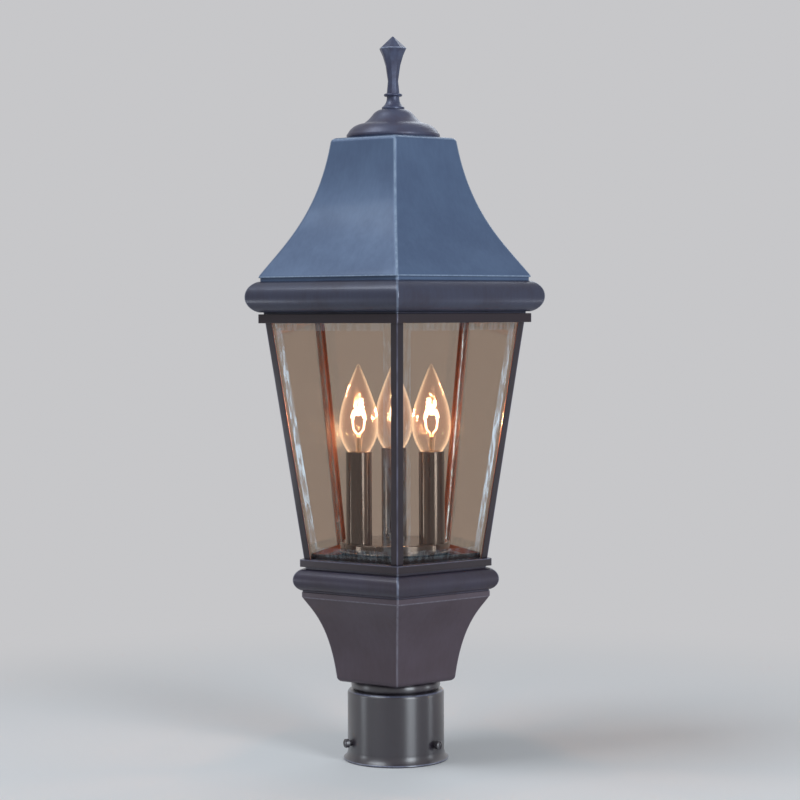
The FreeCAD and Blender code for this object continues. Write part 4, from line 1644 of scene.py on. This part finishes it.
@dataclass
class Lamp:
    """A lit lamp: glass, glass stem, lead wires and filament.

    A bend of the filament is its height, the share of the way along the coil where it is, and its width.
    """

    number: int
    radius: float = 16.4
    neck: float = 6.0
    mouth: float = 9.2
    mouth_drop: float = 0.2
    widest: float = 20.8
    shoulder: Point = (12.0, 45.3)
    pear_bows: Triple = (1.75, 1.1, 0.38)
    tip: float = 73.2
    tip_radius: float = 1.2
    nose: float = 1.0
    nose_bow: float = 0.25
    hollow_tip: float = 3.0
    wall: float = 0.9
    glass_steps: int = 56
    stem_foot: float = 4.6
    stem_flare: float = 9.0
    stem_bow: float = 1.0
    stem_radius: float = 2.4
    stem_top: float = 15.0
    pinch: Triple = (5.0, 2.5, 0.75)
    lead: float = 0.75
    lead_root: Point = (0.9, -3.0)
    lead_exit: float = 1.3
    lead_bend: Point = (0.8, 3.5)
    coil: float = 1.4
    coil_wire: float = 0.5
    coil_turns: int = 26
    turn_steps: int = 10
    spread: float = 5.3
    filament: float = 27.0
    arch: float = 9.6
    arch_power: float = 0.6
    bends: tuple[Triple, ...] = ((-6.0, 0.46, 0.10), (9.0, 0.72, 0.09))
    facing: Triple = (0.0, math.pi, 1.2)

    def __post_init__(self) -> None:
        """Reads the lamp's axis, foot and sleeve's rim from the frame."""
        box = Extent.of("bulb_glass_%d" % self.number)
        self.axis, self.low = box.axis, box.low.z
        self.rim = Extent.of("candle_sleeve_%d" % self.number).high.z

    def build(self) -> None:
        """Builds the lamp."""
        self.build_glass()
        self.build_filament()

    def pear(self, inset: float, tip: float) -> Section:
        """Draws the lamp's pear curve from its foot to its tip.

        Args:
            inset: How far inside the outer wall the curve runs.
            tip: The height of the curve's end.

        Returns:
            The section.
        """
        mouth, shoulder, point = self.pear_bows
        section = Section([(0, self.low + inset), (self.neck - inset, self.low + inset)])
        section.walk((self.mouth - inset, self.rim - self.mouth_drop))
        section.arc(self.radius - inset, self.rim + self.widest, mouth, 10)
        section.arc(self.shoulder[0] - inset, self.rim + self.shoulder[1], shoulder, 10)
        return section.arc(self.tip_radius, tip, point, 10)

    def build_glass(self) -> None:
        """Builds the envelope with its inner wall."""
        tip = self.rim + self.tip
        outer = self.pear(0, tip - self.nose).arc(0, tip, self.nose_bow, 4)
        glass = round_piece("lamp_envelope_%d" % self.number, outer, self.glass_steps, self.axis)
        inner = self.pear(self.wall, tip - self.hollow_tip).walk((0, tip - self.hollow_tip))
        hollow_wall = Piece.lathed("lamp_hollow", inner, self.glass_steps, self.axis)
        bpy.ops.mesh.flip_normals()
        mode("OBJECT")
        bpy.ops.object.shade_smooth_by_angle(angle=math.radians(CRISP))
        glass.join(hollow_wall)
        glass.dress(Finish.BULB, "bulb_%d" % self.number, "bulb_glass_%d" % self.number)

    @staticmethod
    def wire(name: str, points: Sequence[Vector], radius: float) -> Piece:
        """Makes a round wire along a path.

        Args:
            name: The piece's name.
            points: The path in millimetres.
            radius: The wire's radius in millimetres.

        Returns:
            The wire.
        """
        piece = Piece.drawn(name, points)
        mode("OBJECT")
        bpy.ops.object.convert(target="CURVE")
        curve = piece.object.data
        curve.bevel_depth = radius * MM
        curve.bevel_resolution = 3
        curve.use_fill_caps = True
        bpy.ops.object.convert(target="MESH")
        piece = Piece.named(name)
        bpy.ops.object.shade_smooth()
        piece.object.data.materials.clear()
        piece.object.data.materials.append(Finish.FILAMENT.material())
        return piece

    def build_filament(self) -> None:
        """Builds the glass stem, the leads and the coiled filament."""
        foot = self.low + self.wall
        top = self.rim + self.stem_top
        pinch_low, pinch_high, pinch_share = self.pinch
        section = Section([(0, foot), (self.stem_foot, foot)])
        section.arc(self.stem_radius, foot + self.stem_flare, -self.stem_bow, 8)
        section.walk((self.stem_radius, top - pinch_low), (self.stem_radius * pinch_share, top - pinch_high))
        section.arc(0, top, self.stem_bow, 5)
        stem = round_piece("lamp_mount_%d" % self.number, section, 28, self.axis)
        stem.object.data.materials.append(Finish.STEM_GLASS.material())
        turn = Matrix.Rotation(self.facing[self.number - 1], 3, "Z")
        root = (self.lead_root[0], top + self.lead_root[1])
        bend = (self.spread * self.lead_bend[0], top + self.lead_bend[1])
        route = (root, (self.lead_exit, top), bend, (self.spread, self.rim + self.filament))
        for side in (-1, 1):
            path = [self.axis + turn @ Vector((side * out, 0, height)) for out, height in route]
            stem.join(self.wire("lamp_lead", path, self.lead))
        steps = self.coil_turns * self.turn_steps
        coil = [self.axis + turn @ self.coil_point(step / steps) for step in range(steps + 1)]
        stem.join(self.wire("lamp_coil", coil, self.coil_wire))
        stem.dress(Finish.FILAMENT, "bulb_%d" % self.number, "bulb_filament_%d" % self.number)

    def coil_point(self, share: float) -> Vector:
        """A point of the coiled filament, which arches from lead to lead with a dip and a tall loop.

        Args:
            share: How far along the coil the point is, from 0 to 1.

        Returns:
            The point in millimetres from the lamp's axis.
        """
        height = self.rim + self.filament + self.arch * math.sin(math.pi * share) ** self.arch_power
        for rise, place, width in self.bends:
            height += rise * math.exp(-(((share - place) / width) ** 2))
        wound = polar(self.coil, math.tau * self.coil_turns * share, height)
        return wound + Vector((self.spread * (2 * share - 1), 0, 0))


@dataclass(frozen=True)
class HiddenParts:
    """The stems, nuts, sockets, rod and crossbar that keep their own shapes and get a finish."""

    frame: tuple[str, ...] = ("top_crossbar",)
    steel: tuple[str, ...] = (
        "crossbar_screws", "finial_rod", "rod_nuts", "centre_stem", "stem_nuts", "socket_nuts", "socket_stem"
    )
    phenolic: tuple[str, ...] = ("lamp_socket",)
    brass: tuple[str, ...] = ("bulb_cap",)

    def build(self, nodes: dict[str, bpy.types.Object]) -> None:
        """Gives each kept node its finish.

        Args:
            nodes: The CAD nodes by name.
        """
        groups = {
            Finish.FRAME: self.frame,
            Finish.STEEL: self.steel,
            Finish.PHENOLIC: self.phenolic,
            Finish.BRASS: self.brass,
        }
        for finish, starts in groups.items():
            for name, node in nodes.items():
                if name.startswith(starts) and not node.hide_render:
                    for slot in node.material_slots:
                        slot.material = finish.material()
                    LOG.info("%s keeps its shape", name)


# ---------------------------------------------------------------------- studio


def hang(name: str, data: bpy.types.ID, place: Vector, aim: Vector, roll: float = 0.0) -> bpy.types.Object:
    """Adds a camera or light that looks from one point to another.

    Args:
        name: Its name.
        data: Its camera or light data.
        place: Where it is, in millimetres.
        aim: The point that it looks at.
        roll: Its turn about the way it looks, in degrees.

    Returns:
        The camera or light.
    """
    item = bpy.data.objects.new(name, data)
    bpy.context.scene.collection.objects.link(item)
    level = (aim - place).to_track_quat("-Z", "Y").to_matrix().to_4x4()
    tilt = Matrix.Rotation(math.radians(roll), 4, "Z")
    item.matrix_world = Matrix.Translation(place * MM) @ level @ tilt
    return item


@dataclass(frozen=True)
class Softbox:
    """A soft rectangular light that the camera doesn't see.

    Attributes:
        name: Its name.
        place: Where it hangs, in millimetres.
        aim: The point that it faces.
        wide: Its width in millimetres.
        tall: Its height in millimetres.
        watts: Its power.
    """

    name: str
    place: Triple
    aim: Triple
    wide: float
    tall: float
    watts: float

    def build(self) -> None:
        """Hangs the softbox."""
        data = bpy.data.lights.new(self.name, "AREA")
        data.shape = "RECTANGLE"
        data.size = self.wide * MM
        data.size_y = self.tall * MM
        data.energy = self.watts
        data.color = (0.86, 0.93, 1.0)
        hang(self.name, data, Vector(self.place), Vector(self.aim)).visible_camera = False


@dataclass(frozen=True)
class Studio:
    """The camera, the pale floor and the plain soft light."""

    camera_place: Triple = (-39.0, -1860.0, 379.7)
    aim: Triple = (4.7, 0.0, 305.7)
    roll: float = -0.26
    lens: float = 98.75
    pale: Triple = (0.57, 0.57, 0.585)
    floor_face: Triple = (0.76, 0.76, 0.76)
    floor_radius: float = 9000.0
    floor_near: float = 300.0
    floor_far: float = 820.0
    floor_dim: float = 0.15
    ambient: float = 0.20
    ambient_face: Triple = (0.93, 0.96, 1.0)
    flame_face: Triple = (1.0, 0.56, 0.30)
    flame_watts: float = 0.6
    flame_size: float = 5.0
    flame_height: float = 296.0
    softboxes: tuple[Softbox, ...] = (
        Softbox("key", (-1240, -450, 2264), (0, 0, 330), 1200, 1200, 27.0),
        Softbox("strip", (1090, -1556, 770), (0, 0, 770), 700, 1500, 25.0),
        Softbox("left", (-760, -112, 100), (0, -30, 240), 160, 180, 0.5),
        Softbox("right", (760, -52, 100), (0, -30, 240), 120, 180, 0.4),
        Softbox("back", (500, 1700, 1500), (0, 0, 330), 1200, 900, 8.0),
    )

    def build(self) -> None:
        """Builds the studio."""
        self.build_camera()
        self.build_floor()
        self.build_world()
        for softbox in self.softboxes:
            softbox.build()
        for number in range(1, LAMPS + 1):
            self.build_flame(number)
        bpy.context.scene.view_settings.view_transform = "Standard"

    def build_camera(self) -> None:
        """Places the camera at the photograph's viewing angle."""
        data = bpy.data.cameras.new("camera")
        data.lens = self.lens
        data.sensor_width = 36.0
        data.clip_end = 100.0
        camera = hang("camera", data, Vector(self.camera_place), Vector(self.aim), self.roll)
        bpy.context.scene.camera = camera

    def build_floor(self) -> None:
        """Lays the floor, which takes the shadow near the lantern and fades into the backdrop."""
        bpy.ops.object.select_all(action="DESELECT")
        bpy.ops.mesh.primitive_circle_add(vertices=96, radius=self.floor_radius * MM, fill_type="NGON")
        floor = bpy.context.object
        floor.name = "floor"
        shader = Shader.of_material("pale_floor")
        x, y, _ = shader.axes()
        far = (x * x + y * y).math("SQRT").fade(self.floor_near, self.floor_far)
        near = shader.principled(Base_Color=(*self.floor_face, 1.0), Roughness=0.9, Specular_IOR_Level=0.1)
        glow = shader.glow(self.pale, shader.seen() * (1 - self.floor_dim) + self.floor_dim)
        floor.data.materials.append(shader.finish(shader.blend(far, near, glow)))

    def build_world(self) -> None:
        """Fills the world with even light and shows a pale backdrop."""
        world = bpy.data.worlds.new("studio")
        bpy.context.scene.world = world
        shader = Shader(world)
        light, shown = (
            shader.node("ShaderNodeBackground", None, {"Color": (*colour, 1.0), "Strength": strength})
            for colour, strength in ((self.ambient_face, self.ambient), (self.pale, 1.0))
        )
        shader.finish(shader.blend(shader.seen(), light, shown))

    def build_flame(self, number: int) -> None:
        """Lights one lamp from inside.

        Args:
            number: Which lamp.
        """
        data = bpy.data.lights.new("candle_%d" % number, "POINT")
        data.color = self.flame_face
        data.energy = self.flame_watts
        data.shadow_soft_size = self.flame_size * MM
        place = Extent.of("bulb_filament_%d" % number).axis + Vector((0, 0, self.flame_height))
        hang(data.name, data, place, place - Vector((0, 0, 1)))


def main() -> None:
    """Builds the lantern around the frame, then the studio."""
    logging.basicConfig(level=logging.INFO, format="%(name)s: %(message)s")
    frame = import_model()
    lamps = [Lamp(number) for number in range(1, LAMPS + 1)]
    for assembly in (Collar(), SetScrews(), Base(), Cage(), Roof(), Cap(), Finial(), Candles(), *lamps):
        assembly.build()
    HiddenParts().build(frame["nodes"])
    Studio().build()


if __name__ == "__main__":
    main()
